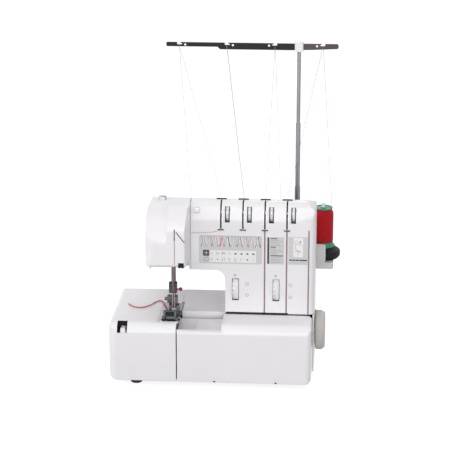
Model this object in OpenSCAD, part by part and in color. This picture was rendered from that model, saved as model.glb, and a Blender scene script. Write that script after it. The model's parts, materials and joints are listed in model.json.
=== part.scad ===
/* [Base] */
// Width of the side cover at the left end
side_cover_w = 107.5; // [100:0.5:115]
// Distance from the parting line of the covers to the column
throat_w = 74; // [70:0.5:78]
// Depth of the base from front to back
body_d = 180; // [178:0.5:184]
// Height of the cloth bed above the table
bed_h = 105; // [103:0.5:108]
// Height of the covers' lower edge above the table
cover_z = 9; // [9:0.25:10.5]
// Wall thickness of the moulded covers
wall = 2.5; // [2:0.1:2.8]
// Running gap between covers that move past each other
gap = 0.4; // [0.3:0.05:0.5]
// Diameter of a rubber foot
foot_d = 19; // [15:0.5:22]

/* [Upper body] */
// Width of the column at the right end
column_w = 143; // [141:0.5:147]
// Height of the top of the body
top_h = 290; // [289:0.5:296]
// Height of the underside of the arm
arm_z = 178; // [172:0.5:180]
// Radius of the throat corner under the arm
throat_r = 16; // [8:0.5:24]
// Distance of the front panel behind the front of the base
panel_set = 60; // [58:0.5:61]
// Width of the head
head_w = 66.5; // [64:0.5:69]
// Distance that the head reaches left of the parting line
head_reach = 48; // [46:0.5:50]
// Height of the head's underside
head_z = 199; // [196:0.5:203]

/* [Thread tension] */
// Distance between neighbouring thread slots
slot_pitch = 35; // [34:0.25:35.5]
// Width of a thread slot
slot_w = 2.4; // [1.8:0.1:3]
// Radius of a tension dial
tension_r = 14.5; // [13:0.25:15]
// Width of a tension dial
tension_w = 6.4; // [5:0.1:7]
// Radius of a stitch dial
dial_r = 22; // [19:0.5:22.5]
// Width of a stitch dial
dial_w = 9.6; // [8:0.1:11]

/* [Mechanism] */
// Diameter of the main shaft
shaft_d = 10; // [8:0.5:12]
// Height of the main shaft above the table
shaft_z = 68; // [66:0.5:70]
// Diameter of the handwheel
handwheel_d = 64; // [58:1:68]
// Thickness of the handwheel's rim
handwheel_t = 16; // [10:0.5:16]
// Diameter of the needle bar and the presser bar
bar_d = 6.5; // [5.5:0.25:7]
// Diameter of the motor
motor_d = 48; // [42:1:50]
// Length of the motor
motor_l = 66; // [60:1:72]
// Running clearance of shafts in their bores, on the radius
shaft_fit = 0.05; // [0.03:0.01:0.08]

/* [Thread stand] */
// Width of the spool tray
tray_w = 288; // [284:1:300]
// Depth of the spool tray
tray_d = 80; // [76:1:84]
// Height of the spool tray's underside
tray_z = 145; // [140:1:150]
// Diameter of a spool cushion
cushion_d = 58; // [52:1:59]
// Thickness of a spool cushion
cushion_t = 19; // [14:0.5:22]
// Diameter of a wound spool
spool_d = 34; // [24:0.5:34]
// Height of the thread wound on a spool
spool_h = 62; // [50:1:70]
// Diameter of the mast's lower tube
mast_d = 9.5; // [9:0.25:11]
// Height of the mast's lower tube above the spool tray's underside
mast_l1 = 130; // [124:1:136]
// Length of the middle tube that shows above the lower one
mast_l2 = 108; // [104:1:112]
// Height of the thread guide bar
bar_z = 512; // [508:1:518]
// Length of the thread guide bar
bar_l = 281; // [276:1:290]

/* [Hidden] */

shell_white = [0.91, 0.91, 0.92];
pan_grey = [0.55, 0.56, 0.58];
cast_grey = [0.66, 0.68, 0.7];
steel_grey = [0.62, 0.63, 0.65];
dark_steel = [0.3, 0.3, 0.31];
black_plastic = [0.13, 0.13, 0.14];
rubber_black = [0.08, 0.08, 0.08];
dial_grey = [0.71, 0.69, 0.67];
brass_tone = [0.75, 0.6, 0.3];
thread_red = [0.61, 0.11, 0.13];
thread_pink = [0.85, 0.45, 0.45];

// Places along X, measured from a datum 12 mm left of the column
column_x = 12;
right_x = column_x + column_w;
parting_x = column_x - throat_w;
side_x1 = parting_x - gap;
side_x0 = side_x1 - side_cover_w;
door_x0 = parting_x + 1;
door_x1 = right_x - 3;
head_x0 = parting_x - head_reach;
head_x1 = head_x0 + head_w;
needle_x = parting_x - 6.5;
presser_x = needle_x - 1;

// Places along Y, measured from a datum 45 mm in front of the back wall
back_y = 45;
front_y = back_y - body_d;
panel_y = front_y + panel_set;
seam_y = -20;
side_back_y = back_y;
needle_y = front_y + 33;
presser_y = needle_y + 18;
shaft_y = -38;

// Rounded outlines
corner_steps = 6;
function unit(v) = v / norm(v);
function turn(a) = a > 180 ? a - 360 : a < -180 ? a + 360 : a;
function arc_corner(a, p, b, r) =
    let (u = unit(a - p), v = unit(b - p), half = acos(u * v) / 2)
    let (c = p + unit(u + v) * r / sin(half))
    let (s = p + u * r / tan(half) - c, e = p + v * r / tan(half) - c)
    let (a0 = atan2(s.y, s.x), da = turn(atan2(e.y, e.x) - atan2(s.y, s.x)))
    [for (i = [0 : corner_steps])
        let (t = a0 + da * i / corner_steps) [c.x + r * cos(t), c.y + r * sin(t)]];
function flat(p) = [p.x, p.y];
function rounded(pts) = [for (i = [0 : len(pts) - 1])
    let (n = len(pts), a = pts[(i + n - 1) % n], p = pts[i], b = pts[(i + 1) % n])
    each (p[2] <= 0 ? [flat(p)] : arc_corner(flat(a), flat(p), flat(b), p[2]))];

module outline(pts) polygon(rounded(pts));
module rect(x0, y0, x1, y1, r) outline([[x0, y0, r], [x1, y0, r], [x1, y1, r], [x0, y1, r]]);
module along_x(x0, x1)
    translate([x0, 0, 0]) rotate([90, 0, 90]) linear_extrude(x1 - x0) children();
module along_y(y0, y1)
    translate([0, y1, 0]) rotate([90, 0, 0]) linear_extrude(y1 - y0) children();
module along_z(z0, z1)
    translate([0, 0, z0]) linear_extrude(z1 - z0) children();
module block(a, b) translate(a) cube(b - a);
module rod_x(x0, x1, y, z, r)
    translate([x0, y, z]) rotate([0, 90, 0]) cylinder(h = x1 - x0, r = r, $fn = 48);
module rod_y(y0, y1, x, z, r)
    translate([x, y1, z]) rotate([90, 0, 0]) cylinder(h = y1 - y0, r = r, $fn = 48);
module rod_z(z0, z1, x, y, r)
    translate([x, y, z0]) cylinder(h = z1 - z0, r = r, $fn = 48);
module tube_x(x0, x1, y, z, r_out, r_in)
    difference() {
        rod_x(x0, x1, y, z, r_out);
        rod_x(x0 - 1, x1 + 1, y, z, r_in);
    }

// The whole part stands centred over the origin of the table plane
tray_x1 = tray_w - 105;
tray_x0 = tray_x1 - tray_w;
tray_y0 = back_y;
tray_y1 = tray_y0 + tray_d;
pin_x = [-70, 20, 80, 165];
pin_y = tray_y0 + 35;
centre_x = (side_x0 + pin_x[3] + cushion_d / 2) / 2;
centre_y = (front_y + tray_y1) / 2;
module place() translate([-centre_x, -centre_y, 0]) children();

// Upper body: one form cut from three outlines, drawn d inside its surface
knee_z = top_h - 28;
ridge_y = panel_y + 27;
roof_drop = 30;
function roof_z(y) = top_h - max(0, y - ridge_y) * roof_drop / (back_y - ridge_y);
module body_side(d) outline([
    [panel_y + d, -5, 0], [panel_y + d, knee_z, 24], [panel_y + 8 + d, top_h - d, 13 - d],
    [ridge_y, top_h - d, 20 - d], [back_y - d, top_h - roof_drop - d, 15 - d], [back_y - d, -5, 0]]);
module body_front(d) outline([
    [head_x0 + d, arm_z + d, 7 - d], [column_x + d, arm_z + d, throat_r + d],
    [column_x + d, -5, 0], [right_x - d, -5, 0], [right_x - d, top_h - d, 22 - d],
    [head_x0 + d, top_h - d, 9 - d]]);
module body_plan(d) outline([
    [head_x0 + d, panel_y - 5, 0], [right_x - d, panel_y - 5 + d, 0],
    [right_x - d, back_y - d, 12 - d], [head_x0 + d, back_y - d, 12 - d]]);
module body_form(d)
    intersection() {
        along_x(head_x0 - 1, right_x + 1) body_side(d);
        along_y(front_y, back_y + 1) body_front(d);
        along_z(-5, top_h + 1) body_plan(d);
        along_z(-5, top_h + 1) outline([
            [head_x0 - 5, panel_y + d, 0], [right_x - d, panel_y + d, 9 - d],
            [right_x - d, back_y + 5, 0], [head_x0 - 5, back_y + 5, 0]]);
    }
// Low part of the rear housing behind the loopers
module bed_form(d, z0)
    intersection() {
        along_y(front_y, back_y - d)
            rect(parting_x + d, z0, right_x - d, bed_h - d, 0);
        along_x(parting_x, right_x) outline([
            [front_y, z0, 0], [front_y, bed_h - d, 0], [back_y - d, bed_h - d, 6 - d],
            [back_y - d, z0, 0]]);
        along_z(z0, bed_h) outline([
            [parting_x, front_y, 0], [right_x - d, front_y, 0],
            [right_x - d, back_y - d, 12 - d], [parting_x, back_y - d, 0]]);
    }
module behind(y) block([side_x0 - 50, y, -20], [right_x + 50, back_y + 50, top_h + 20]);

inlet_y = 22;
inlet_z = 38;
switch_z = 64;
screw_spots = [[head_x0 + 12, arm_z + 14], [head_x0 + 12, top_h - 48], [right_x - 12, top_h - 48],
    [right_x - 12, bed_h + 20], [column_x + 14, bed_h + 20]];
rim_top_z = cover_z + 11;
bed_slab_x0 = parting_x + 4;
bed_slab_y0 = panel_y + 7;
lifter_y = back_y - 18;
lifter_z = head_z + 12;

module rear_housing() color(shell_white) place()
    difference() {
        union() {
            difference() {
                union() {
                    intersection() {
                        body_form(0);
                        behind(seam_y);
                        block([head_x0 - 1, seam_y, cover_z], [right_x + 1, back_y + 1, top_h + 1]);
                    }
                    intersection() {
                        bed_form(0, cover_z);
                        behind(seam_y);
                    }
                }
                body_form(wall);
                bed_form(wall, -1);
            }
            block([right_x - wall, panel_y + gap, cover_z], [right_x, seam_y + 1, bed_h]);
            block([bed_slab_x0, bed_slab_y0, bed_h - wall], [column_x, seam_y + 1, bed_h]);
            block([bed_slab_x0, bed_slab_y0, bed_h - 17], [column_x, bed_slab_y0 + wall, bed_h]);
            for (s = screw_spots)
                rod_y(back_y - 14, back_y - 1, s.x, s.y, 4.5);
            for (x = [presser_x - 8, presser_x + 5])
                block([x, lifter_y - 6, lifter_z - 6], [x + 3, back_y - 1, lifter_z + 6]);
            rod_x(presser_x - 7, presser_x + 7, lifter_y, lifter_z, 2.5);
        }
        block([parting_x - 1, seam_y - 1, cover_z - 1],
              [parting_x + wall + 0.2, back_y - wall, rim_top_z + gap]);
        rod_x(right_x - 5, right_x + 5, shaft_y, shaft_z, shaft_d / 2 + 3);
        block([right_x - 5, inlet_y - 12.2, inlet_z - 10.2], [right_x + 5, inlet_y + 12.2, switch_z + 10.2]);
        block([presser_x - 4, back_y - 5, lifter_z - 12], [presser_x + 4, back_y + 5, lifter_z + 20]);
        for (s = screw_spots)
            rod_y(back_y - 15, back_y + 1, s.x, s.y, 1.8);
    }

slot_x = [for (i = [0 : 3]) column_x - 7 + i * slot_pitch];
seam_slot_x = column_x - 7 + 4 * slot_pitch;
dial_x = [for (x = slot_x) x + 10.3];
tension_y = panel_y + tension_r + 2;
tension_z = top_h - 20;
window_h = 25;
post_r = 2.5;
window_w = tension_w + 1.2;
stitch_y = panel_y + dial_r - 6;
stitch_z = bed_h + 41;
length_x = column_x + 16.5;
differential_x = length_x + 65;
panel_z0 = bed_h + 1.2;
slot_foot_z = top_h - 43;
groove_d = 1.3;
rib_t = 2;

// Upright ribs inside the front panel that carry a dial between them
module rib_pair(x0, x1, y, z, r)
    intersection() {
        body_form(0.5);
        for (x = [x0 - rib_t, x1])
            difference() {
                along_x(x, x + rib_t) outline([
                    [panel_y - 1, z - r, 0], [panel_y - 1, z + r, 0],
                    [y + r * 0.8, z + r, 3], [y + r * 0.8, z - r, 3]]);
                rod_x(x - 1, x + rib_t + 1, y, z, post_r + shaft_fit);
            }
    }
module front_panel() color(shell_white) place()
    difference() {
        union() {
            difference() {
                intersection() {
                    body_form(0);
                    block([head_x1 + gap, panel_y - 10, panel_z0], [right_x + 1, seam_y, top_h + 1]);
                }
                body_form(wall);
            }
            for (i = [0 : 3])
                rib_pair(slot_x[i] - 5, dial_x[i] + 7, tension_y, tension_z, 11);
            for (x = [length_x, differential_x])
                rib_pair(x - dial_w / 2 - 3, x + dial_w / 2 + 3, stitch_y, stitch_z, 14);
        }
        for (x = slot_x)
            block([x - slot_w / 2, panel_y - 5, slot_foot_z], [x + slot_w / 2, panel_y + 24, top_h + 5]);
        for (x = slot_x)
            block([x - 4, panel_y + 20, top_h - 4], [x + 4, panel_y + 23, top_h + 5]);
        for (x = [slot_x[2], slot_x[3], seam_slot_x])
            block([x - 1.2, panel_y - 1, panel_z0 - 1], [x + 1.2, panel_y + groove_d, slot_foot_z + 1]);
        for (x = dial_x)
            block([x - window_w / 2, panel_y - 5, tension_z - window_h / 2],
                [x + window_w / 2, panel_y + 10, tension_z + window_h / 2]);
        for (x = dial_x)
            rod_x(x - window_w / 2, x + window_w / 2, tension_y, tension_z, tension_r + gap);
        for (x = [length_x, differential_x])
            block([x - dial_w / 2 - 0.6, panel_y - 5, stitch_z - 18.5],
                [x + dial_w / 2 + 0.6, panel_y + 8, stitch_z + 18.5]);
    }

// Head: bulging left part and an upright plate beside it that rolls back higher up
head_slot_x = head_x0 + 47;
head_plate_x = head_slot_x - 12.6;
head_draft = 3;
module bulge_side(d) outline([
    [front_y + d, head_z + d, 6 - d], [panel_y, head_z + d, 0], [panel_y, arm_z + d, 0],
    [seam_y, arm_z + d, 0], [seam_y, roof_z(seam_y) - d, 0], [ridge_y, top_h - d, 20 - d],
    [panel_y - 1, top_h - d, 30], [front_y + 25 + d, top_h - 16 - d, 30],
    [front_y + d, knee_z - 16, 26]]);
module plate_side(d) outline([
    [front_y + d, head_z + d, 6 - d], [panel_y, head_z + d, 0], [panel_y, arm_z + d, 0],
    [seam_y, arm_z + d, 0], [seam_y, roof_z(seam_y) - d, 0], [ridge_y, top_h - d, 20 - d],
    [panel_y - 27, top_h - d, 24], [front_y + d, top_h - 21 - d, 22]]);
module head_form(d)
    intersection() {
        union() {
            along_x(head_x0 - 1, head_x1 + 1) bulge_side(d);
            along_x(head_plate_x + d, head_x1 + 1) plate_side(d);
        }
        along_y(front_y - 1, seam_y) outline([
            [head_x0 + d, arm_z - 1 + d, 0], [head_x1 - d, arm_z - 1 + d, 0],
            [head_x1 - d, top_h - d, 5 - d / 2], [head_x0 + d, top_h - d, 9 - d]]);
        along_z(arm_z - 1, top_h + 1) outline([
            [head_x0 + d, front_y + d, 13 - d], [head_x1 - head_draft - d, front_y + d, wall + 0.2 - d],
            [head_x1 - d, panel_y - 2, 0], [head_x1 - d, seam_y + 1, 0],
            [head_x0 + d, seam_y + 1, 0]]);
    }
cutter_x = head_x1 - head_draft - 11;
cutter_w = 9;
module head_cover() color(shell_white) place()
    difference() {
        head_form(0);
        head_form(wall);
        block([needle_x - 18, needle_y - 20, arm_z - 1], [needle_x + 14, panel_y + 2, head_z + 5]);
        block([head_x0 + wall, panel_y - 2, arm_z - 1], [head_x1 - wall, seam_y - 1, arm_z + 5]);
        block([head_x1 - wall - 1, panel_y + wall, arm_z + wall], [head_x1 + 1, seam_y + 1, roof_z(seam_y) - 5]);
        block([head_slot_x - 0.9, front_y - 1, head_z - 1], [head_slot_x + 0.9, front_y + 12, knee_z]);
        translate([head_slot_x + 10, front_y, knee_z - 14]) rotate([0, 53, 0])
            block([-13, -5, -0.8], [13, 12, 0.8]);
        block([cutter_x, front_y - 1, head_z - 1], [cutter_x + cutter_w, front_y + 8, head_z + 8.5]);
    }
module thread_cutter() color(black_plastic) place()
    difference() {
        block([cutter_x + 0.2, front_y - 0.4, head_z],
              [cutter_x + cutter_w - 0.2, front_y + 7.8, head_z + 8.3]);
        translate([cutter_x + 3, front_y - 1, head_z - 0.5]) rotate([0, 35, 0]) cube([1, 5, 6]);
    }

// Feet, pan and screws
pan_z = cover_z - 1;
pan_t = 3;
deck_z = pan_z + pan_t;
pan_x0 = side_x0 + 16;
pan_x1 = door_x1 - wall - gap;
pan_y1 = back_y - wall - gap;
pan_side_y0 = front_y + wall + 0.4;
hinge_y = front_y + wall + 5;
hinge_z = cover_z + 6;
pan_front_y = hinge_y + 8.5;
foot_spots = [[side_x0 + 42, front_y + 19], [side_x0 + 42, back_y - 25],
    [right_x - 30, pan_front_y + 24], [right_x - 30, back_y - 25]];
base_x0 = parting_x - 33;
base_x1 = right_x - 15;
base_y0 = -60;
base_y1 = 36;
floor_t = 5;
floor_z = deck_z + floor_t;
base_screw_spots = [for (x = [base_x0 + 12, base_x1 - 32], y = [base_y0 + 8, base_y1 - 8]) [x, y]];
lug_w = 5;
lug_x = [parting_x + 47, parting_x + 150];
hinge_pin_r = 2;
barrel_r = 3.8;

module pan_outline(d) {
    translate([pan_x0 + d, pan_side_y0 + d])
        square([parting_x - 0.5 - pan_x0 - 2 * d, pan_y1 - pan_side_y0 - 2 * d]);
    outline([
        [pan_x0 + d, pan_front_y + d, 0], [pan_x1 - d, pan_front_y + d, 0],
        [pan_x1 - d, pan_y1 - d, 11 - d], [pan_x0 + d, pan_y1 - d, 0]]);
}
module base_pan() color(pan_grey) place()
    difference() {
        union() {
            along_z(pan_z, deck_z) pan_outline(0);
            difference() {
                along_z(deck_z - 1, rim_top_z) pan_outline(0);
                along_z(deck_z - 2, rim_top_z + 1) pan_outline(2);
            }
            for (x = lug_x) {
                rod_x(x, x + lug_w, hinge_y, hinge_z, barrel_r);
                block([x, hinge_y, hinge_z - 2.6], [x + lug_w, pan_front_y + 1, hinge_z + barrel_r]);
            }
        }
        for (x = lug_x)
            rod_x(x - 1, x + lug_w + 1, hinge_y, hinge_z, hinge_pin_r + shaft_fit);
        for (p = foot_spots)
            rod_z(pan_z - 1, deck_z + 1, p.x, p.y, 4.1);
        for (p = base_screw_spots)
            rod_z(pan_z - 1, deck_z + 1, p.x, p.y, 2.2);
    }
module rubber_feet() color(rubber_black) place()
    for (p = foot_spots)
        translate([p.x, p.y, 0]) rotate_extrude($fn = 48)
            polygon([[0, 0], [foot_d / 2 - 1.2, 0], [foot_d / 2, 1.2], [foot_d / 2 - 0.8, pan_z],
                [4, pan_z], [4, deck_z - 0.2], [0, deck_z - 0.2]]);
module body_screws() color(steel_grey) place() {
    for (p = base_screw_spots)
        translate([p.x, p.y, pan_z - 2]) {
            cylinder(h = 2, r = 4, $fn = 32);
            cylinder(h = 2 + pan_t + floor_t - 1, r = 2, $fn = 32);
        }
    for (s = screw_spots) {
        rod_y(back_y, back_y + 1.8, s.x, s.y, 3.4);
        rod_y(back_y - 12, back_y + 1, s.x, s.y, 1.7);
    }
}

// Die-cast frame: floor, bearing walls, column, arm and needle bar guides
wall_x = [parting_x + 10, column_x + 26, right_x - 36];
bearing_t = 6;
rail_z = shaft_z + 26;
spine_y0 = stitch_y + dial_r + 3;
spine_y1 = spine_y0 + 22;
guide_z = [head_z + 7, head_z + 42];
plate_x0 = parting_x - 30;
plate_x1 = parting_x + 3.2;
plate_y0 = front_y + 14;
plate_y1 = panel_y + 43;
plate_top = bed_h + 0.3;
plate_t = 3.2;
plate_z = plate_top - plate_t;
bush_r = shaft_d / 2 + 3;
motor_y = 14;
motor_z = floor_z + motor_d / 2 + 5;
motor_x1 = right_x - 38;
motor_x0 = motor_x1 - motor_l;
upper_axis = [parting_x + 38, floor_z + 16];
lower_axis = [parting_x + 20, floor_z + 18];
looper_shaft_r = 3.5;
looper_wall_y = base_y0 + 8;

module frame_casting() color(cast_grey) place()
    difference() {
        union() {
            block([base_x0, base_y0, deck_z], [base_x1, base_y1, floor_z]);
            for (x = wall_x)
                along_x(x, x + bearing_t) outline([
                    [base_y0, floor_z - 1, 0], [base_y0 + 6, rail_z + 4, 6],
                    [-12, rail_z + 4, 2], [-8, floor_z - 1, 0]]);
            block([wall_x[0], base_y0 + 12, rail_z], [wall_x[2] + bearing_t, spine_y1, rail_z + 4]);
            block([wall_x[0] + 2, looper_wall_y, floor_z - 1], [wall_x[1], looper_wall_y + 5, shaft_z - 22]);
            along_y(spine_y0, spine_y1) outline([
                [column_x + 40, rail_z + 3, 0], [column_x + 40, arm_z + 20, 14],
                [needle_x - 14, arm_z + 20, 0], [needle_x - 14, arm_z + 52, 0],
                [column_x + 90, arm_z + 52, 14], [column_x + 90, rail_z + 3, 0]]);
            for (z = guide_z)
                along_z(z, z + 6) outline([
                    [needle_x - 12, needle_y - 9, 6], [needle_x + 12, needle_y - 9, 6],
                    [needle_x + 12, spine_y0 + 1, 0], [needle_x - 12, spine_y0 + 1, 0]]);
            block([needle_x - 14, spine_y0 - 12, guide_z[0]], [needle_x + 14, spine_y0 + 1, guide_z[1] + 6]);
            block([plate_x0 + 1, plate_y0 + 3, deck_z], [plate_x0 + 6, plate_y1 - 2, plate_z]);
            block([plate_x0 + 1, base_y0 + 4, floor_z - 1], [parting_x - 2, base_y0 + 9, plate_z]);
            block([dog_x - 2.5, dog_y + 8, plate_z - 25], [dog_x + 2.5, base_y0 + 5, plate_z - 19.3]);
            block([knife_rod_x - 5, knife_rod_y - 5, deck_z], [knife_rod_x + 5, base_y0 + 1, deck_z + 14]);
            block([motor_x0 + 12, motor_y - 15, floor_z - 1], [motor_x0 + 22, motor_y + 15, motor_z - 8]);
            block([motor_x1 - 22, motor_y - 15, floor_z - 1], [motor_x1 - 12, motor_y + 15, motor_z - 8]);
        }
        for (x = wall_x)
            rod_x(x - 1, x + bearing_t + 1, shaft_y, shaft_z, bush_r + shaft_fit);
        rod_x(motor_x0 - 1, motor_x1 + 1, motor_y, motor_z, motor_d / 2);
        rod_z(deck_z - 1, deck_z + 15, knife_rod_x, knife_rod_y, 3 + shaft_fit);
        for (a = [upper_axis, lower_axis])
            rod_y(looper_wall_y - 1, looper_wall_y + 6, a.x, a.y, looper_shaft_r + shaft_fit);
        rod_z(guide_z[0] - 1, guide_z[1] + 7, needle_x, needle_y, bar_d / 2 + shaft_fit);
        rod_z(guide_z[0] - 1, guide_z[1] + 7, presser_x, presser_y, bar_d / 2 + shaft_fit);
        for (p = base_screw_spots)
            rod_z(deck_z - 1, deck_z + floor_t - 0.5, p.x, p.y, 2.1);
    }

// Needle plate, knives and feed dog
dog_x = needle_x - 5;
dog_l = 22;
dog_w = 3;
dog_y = needle_y + 5;
feed_travel = 3;
lower_knife_x = parting_x - 3.4;
knife_t = 1.6;
knife_x = lower_knife_x + knife_t + 0.3;
knife_y = needle_y - 1.5;
knife_rod_x = parting_x + 6;
knife_rod_y = knife_y - 3;
module needle_plate() color(steel_grey) place()
    difference() {
        along_z(plate_z, plate_top) rect(plate_x0, plate_y0, plate_x1, plate_y1, 2.5);
        for (i = [-1, 0, 1])
            block([dog_x + i * 5 - 2.1, dog_y - 1, plate_z - 1],
                [dog_x + i * 5 + 2.1, dog_y + dog_l + feed_travel + 1, plate_top + 1]);
        rod_z(plate_z - 1, plate_top + 1, needle_x, needle_y, 2.6);
        block([lower_knife_x, plate_y0 + 6, plate_z - 1], [plate_x1 + 1, needle_y + 5, plate_top + 1]);
        for (y = [plate_y0 + 8, plate_y1 - 8])
            rod_z(plate_top - 1, plate_top + 1, plate_x0 + 6, y, 2.6);
    }
module feed_dog() color(dark_steel) place() {
    for (i = [-1, 0, 1])
        along_x(dog_x + i * 5 - dog_w / 2, dog_x + i * 5 + dog_w / 2) polygon(concat(
            [[dog_y, plate_z - 8.5], [dog_y + dog_l, plate_z - 8.5]],
            [for (k = [11 : -1 : 0]) each [
                [dog_y + (k + 1) * dog_l / 12, plate_top - 1.2],
                [dog_y + (k + 0.4) * dog_l / 12, plate_top - 0.2]]],
            [[dog_y, plate_top - 1.2]]));
    block([dog_x - 7, dog_y, plate_z - 13], [dog_x + 7, dog_y + dog_l, plate_z - 8]);
    block([dog_x - 3, dog_y + 6, plate_z - 19], [dog_x + 3, base_y0 - 0.5 - feed_travel, plate_z - 12]);
}
module lower_knife() color(steel_grey) place()
    along_x(lower_knife_x, lower_knife_x + knife_t) outline([
        [plate_y0 + 8, plate_z - 14, 1], [plate_y0 + 8, plate_top, 0],
        [knife_y, plate_top, 0], [knife_y, plate_z - 20, 1],
        [knife_y - 5, plate_z - 20, 1], [knife_y - 5, plate_z - 14, 0]]);
module upper_knife() color(dark_steel) place() {
    along_x(knife_x, knife_x + knife_t) outline([
        [knife_y - 4, plate_top + 1, 0], [knife_y, plate_top + 3, 0],
        [knife_y, plate_z - 26, 1], [knife_y - 6, plate_z - 30, 1],
        [knife_y - 8, plate_z - 26, 1], [knife_y - 8, plate_z - 10, 2]]);
    rod_x(knife_x + knife_t, knife_rod_x, knife_rod_y, plate_z - 25, 2.5);
    rod_z(deck_z + 13, plate_z - 22, knife_rod_x, knife_rod_y, 3);
}

// Loopers: curved arms on rocking shafts
module looper_arm(axis, reach, tip, y0, t) {
    along_y(y0, y0 + t) outline([
        [axis.x - 5, axis.y - 4, 4], [axis.x + 5, axis.y - 4, 4],
        [axis.x + 4, reach - 10, 6], [axis.x - 6, reach + 4, 8], [tip.x, tip.y, 0.4],
        [tip.x + 1, tip.y - 2.2, 0.4], [axis.x - 10, reach - 4, 8], [axis.x - 4, reach - 16, 6]]);
    rod_y(y0, base_y0 - 1, axis.x, axis.y, 6);
    rod_y(y0 - 4, looper_wall_y + 9, axis.x, axis.y, looper_shaft_r);
}
module lower_looper() color(steel_grey) place()
    looper_arm(lower_axis, plate_z - 31, [needle_x + 8, plate_z - 17], needle_y + 1.2, 1.8);
module upper_looper() color(steel_grey) place()
    looper_arm(upper_axis, plate_z - 34, [needle_x + 22, plate_z - 22], needle_y + 5, 1.8);

// Main shaft, handwheel and motor drive
pulley_x = right_x - 22;
pulley_t = 8;
big_r = 25;
small_r = 9;
motor_shaft_r = 3;
module main_shaft() color(steel_grey) place() {
    rod_x(wall_x[0] - 4, right_x + 10, shaft_y, shaft_z, shaft_d / 2);
    for (i = [0 : 2])
        translate([0, 4 * cos(120 * i), 4 * sin(120 * i)])
            rod_x(wall_x[0] + 16 + i * 16, wall_x[0] + 22 + i * 16, shaft_y, shaft_z, 12);
    rod_x(wall_x[1] + bearing_t + 8, wall_x[1] + bearing_t + 16, shaft_y, shaft_z, 16);
}
module shaft_bushes() color(brass_tone) place()
    for (x = wall_x)
        tube_x(x - 2, x + bearing_t + 2, shaft_y, shaft_z, bush_r, shaft_d / 2 + shaft_fit);
module handwheel() color(dial_grey) place()
    difference() {
        translate([right_x + 1.5, shaft_y, shaft_z]) rotate([0, 90, 0]) rotate_extrude($fn = 96)
            outline([
                [shaft_d / 2, 0, 0], [handwheel_d / 2 - 2, 0, 1.5], [handwheel_d / 2, handwheel_t - 5, 1.5],
                [handwheel_d / 2 - 3, handwheel_t, 2], [handwheel_d / 2 - 8, handwheel_t, 1],
                [handwheel_d / 2 - 10, handwheel_t - 3, 1], [shaft_d / 2, handwheel_t - 3, 0]]);
        for (i = [0 : 23])
            translate([0, shaft_y, shaft_z]) rotate([15 * i, 0, 0])
                rod_x(right_x + 3.5, right_x + handwheel_t - 3, 0, handwheel_d / 2 + 0.4, 1.2);
    }
module belt_pulley() color(black_plastic) place()
    tube_x(pulley_x, pulley_x + pulley_t, shaft_y, shaft_z, big_r, shaft_d / 2);
module motor_pulley() color(steel_grey) place() {
    rod_x(pulley_x, pulley_x + pulley_t, motor_y, motor_z, small_r);
    rod_x(motor_x1 - 6, pulley_x + 1, motor_y, motor_z, motor_shaft_r);
}
belt_t = 1.6;
belt_gap = 0.3;
function arc(c, r, a0, a1, n) =
    [for (i = [0 : n])
        let (a = a0 + (a1 - a0) * i / n)
        c + r * [cos(a), sin(a)]];
module belt_outline(r) {
    a = [shaft_y, shaft_z];
    b = [motor_y, motor_z];
    aim = atan2(b.y - a.y, b.x - a.x);
    lean = acos((big_r - small_r) / norm(b - a));
    polygon(concat(
        arc(a, big_r + r, aim + lean, aim + 360 - lean, 40),
        arc(b, small_r + r, aim - lean, aim + lean, 20)));
}
module drive_belt() color(rubber_black) place()
    along_x(pulley_x + 1, pulley_x + pulley_t - 1)
        difference() {
            belt_outline(belt_gap + belt_t);
            belt_outline(belt_gap);
        }
module motor() color(dark_steel) place()
    difference() {
        union() {
            rod_x(motor_x0, motor_x1, motor_y, motor_z, motor_d / 2 - 0.1);
            rod_x(motor_x1 - 1, motor_x1 + 4, motor_y, motor_z, 9);
            rod_x(motor_x0 - 6, motor_x0 + 1, motor_y, motor_z, 11);
        }
        rod_x(motor_x1 - 7, motor_x1 + 5, motor_y, motor_z, motor_shaft_r + shaft_fit);
        for (i = [0 : 7])
            translate([0, motor_y, motor_z]) rotate([45 * i, 0, 0])
                block([motor_x0 - 1, -2, 15], [motor_x0 + 8, 2, 20]);
    }

// Power inlet with its rocker switch above it
rocker_tilt = 8;
rocker_x = right_x - 1;
module power_inlet() color(black_plastic) place()
    difference() {
        union() {
            along_x(right_x, right_x + 1.6) translate([inlet_y, (inlet_z + switch_z) / 2])
                rect(-15, -(switch_z - inlet_z) / 2 - 13, 15, (switch_z - inlet_z) / 2 + 13, 3);
            block([right_x - 9, inlet_y - 12, inlet_z - 10], [right_x + 0.5, inlet_y + 12, switch_z + 10]);
        }
        block([right_x - 7, inlet_y - 9, inlet_z - 6], [right_x + 3, inlet_y + 9, inlet_z + 6]);
        block([right_x - 7.5, inlet_y - 7, switch_z - 8.5], [right_x + 3, inlet_y + 7, switch_z + 8.5]);
    }
module power_switch() color(rubber_black) place()
    translate([rocker_x - 1, 0, switch_z]) rotate([0, rocker_tilt, 0])
        along_y(inlet_y - 6.5, inlet_y + 6.5)
            outline([[-2.5, -5.5, 1], [2.5, -7, 0.6], [1.6, 0, 12], [2.5, 7, 0.6], [-2.5, 5.5, 1]]);

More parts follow.
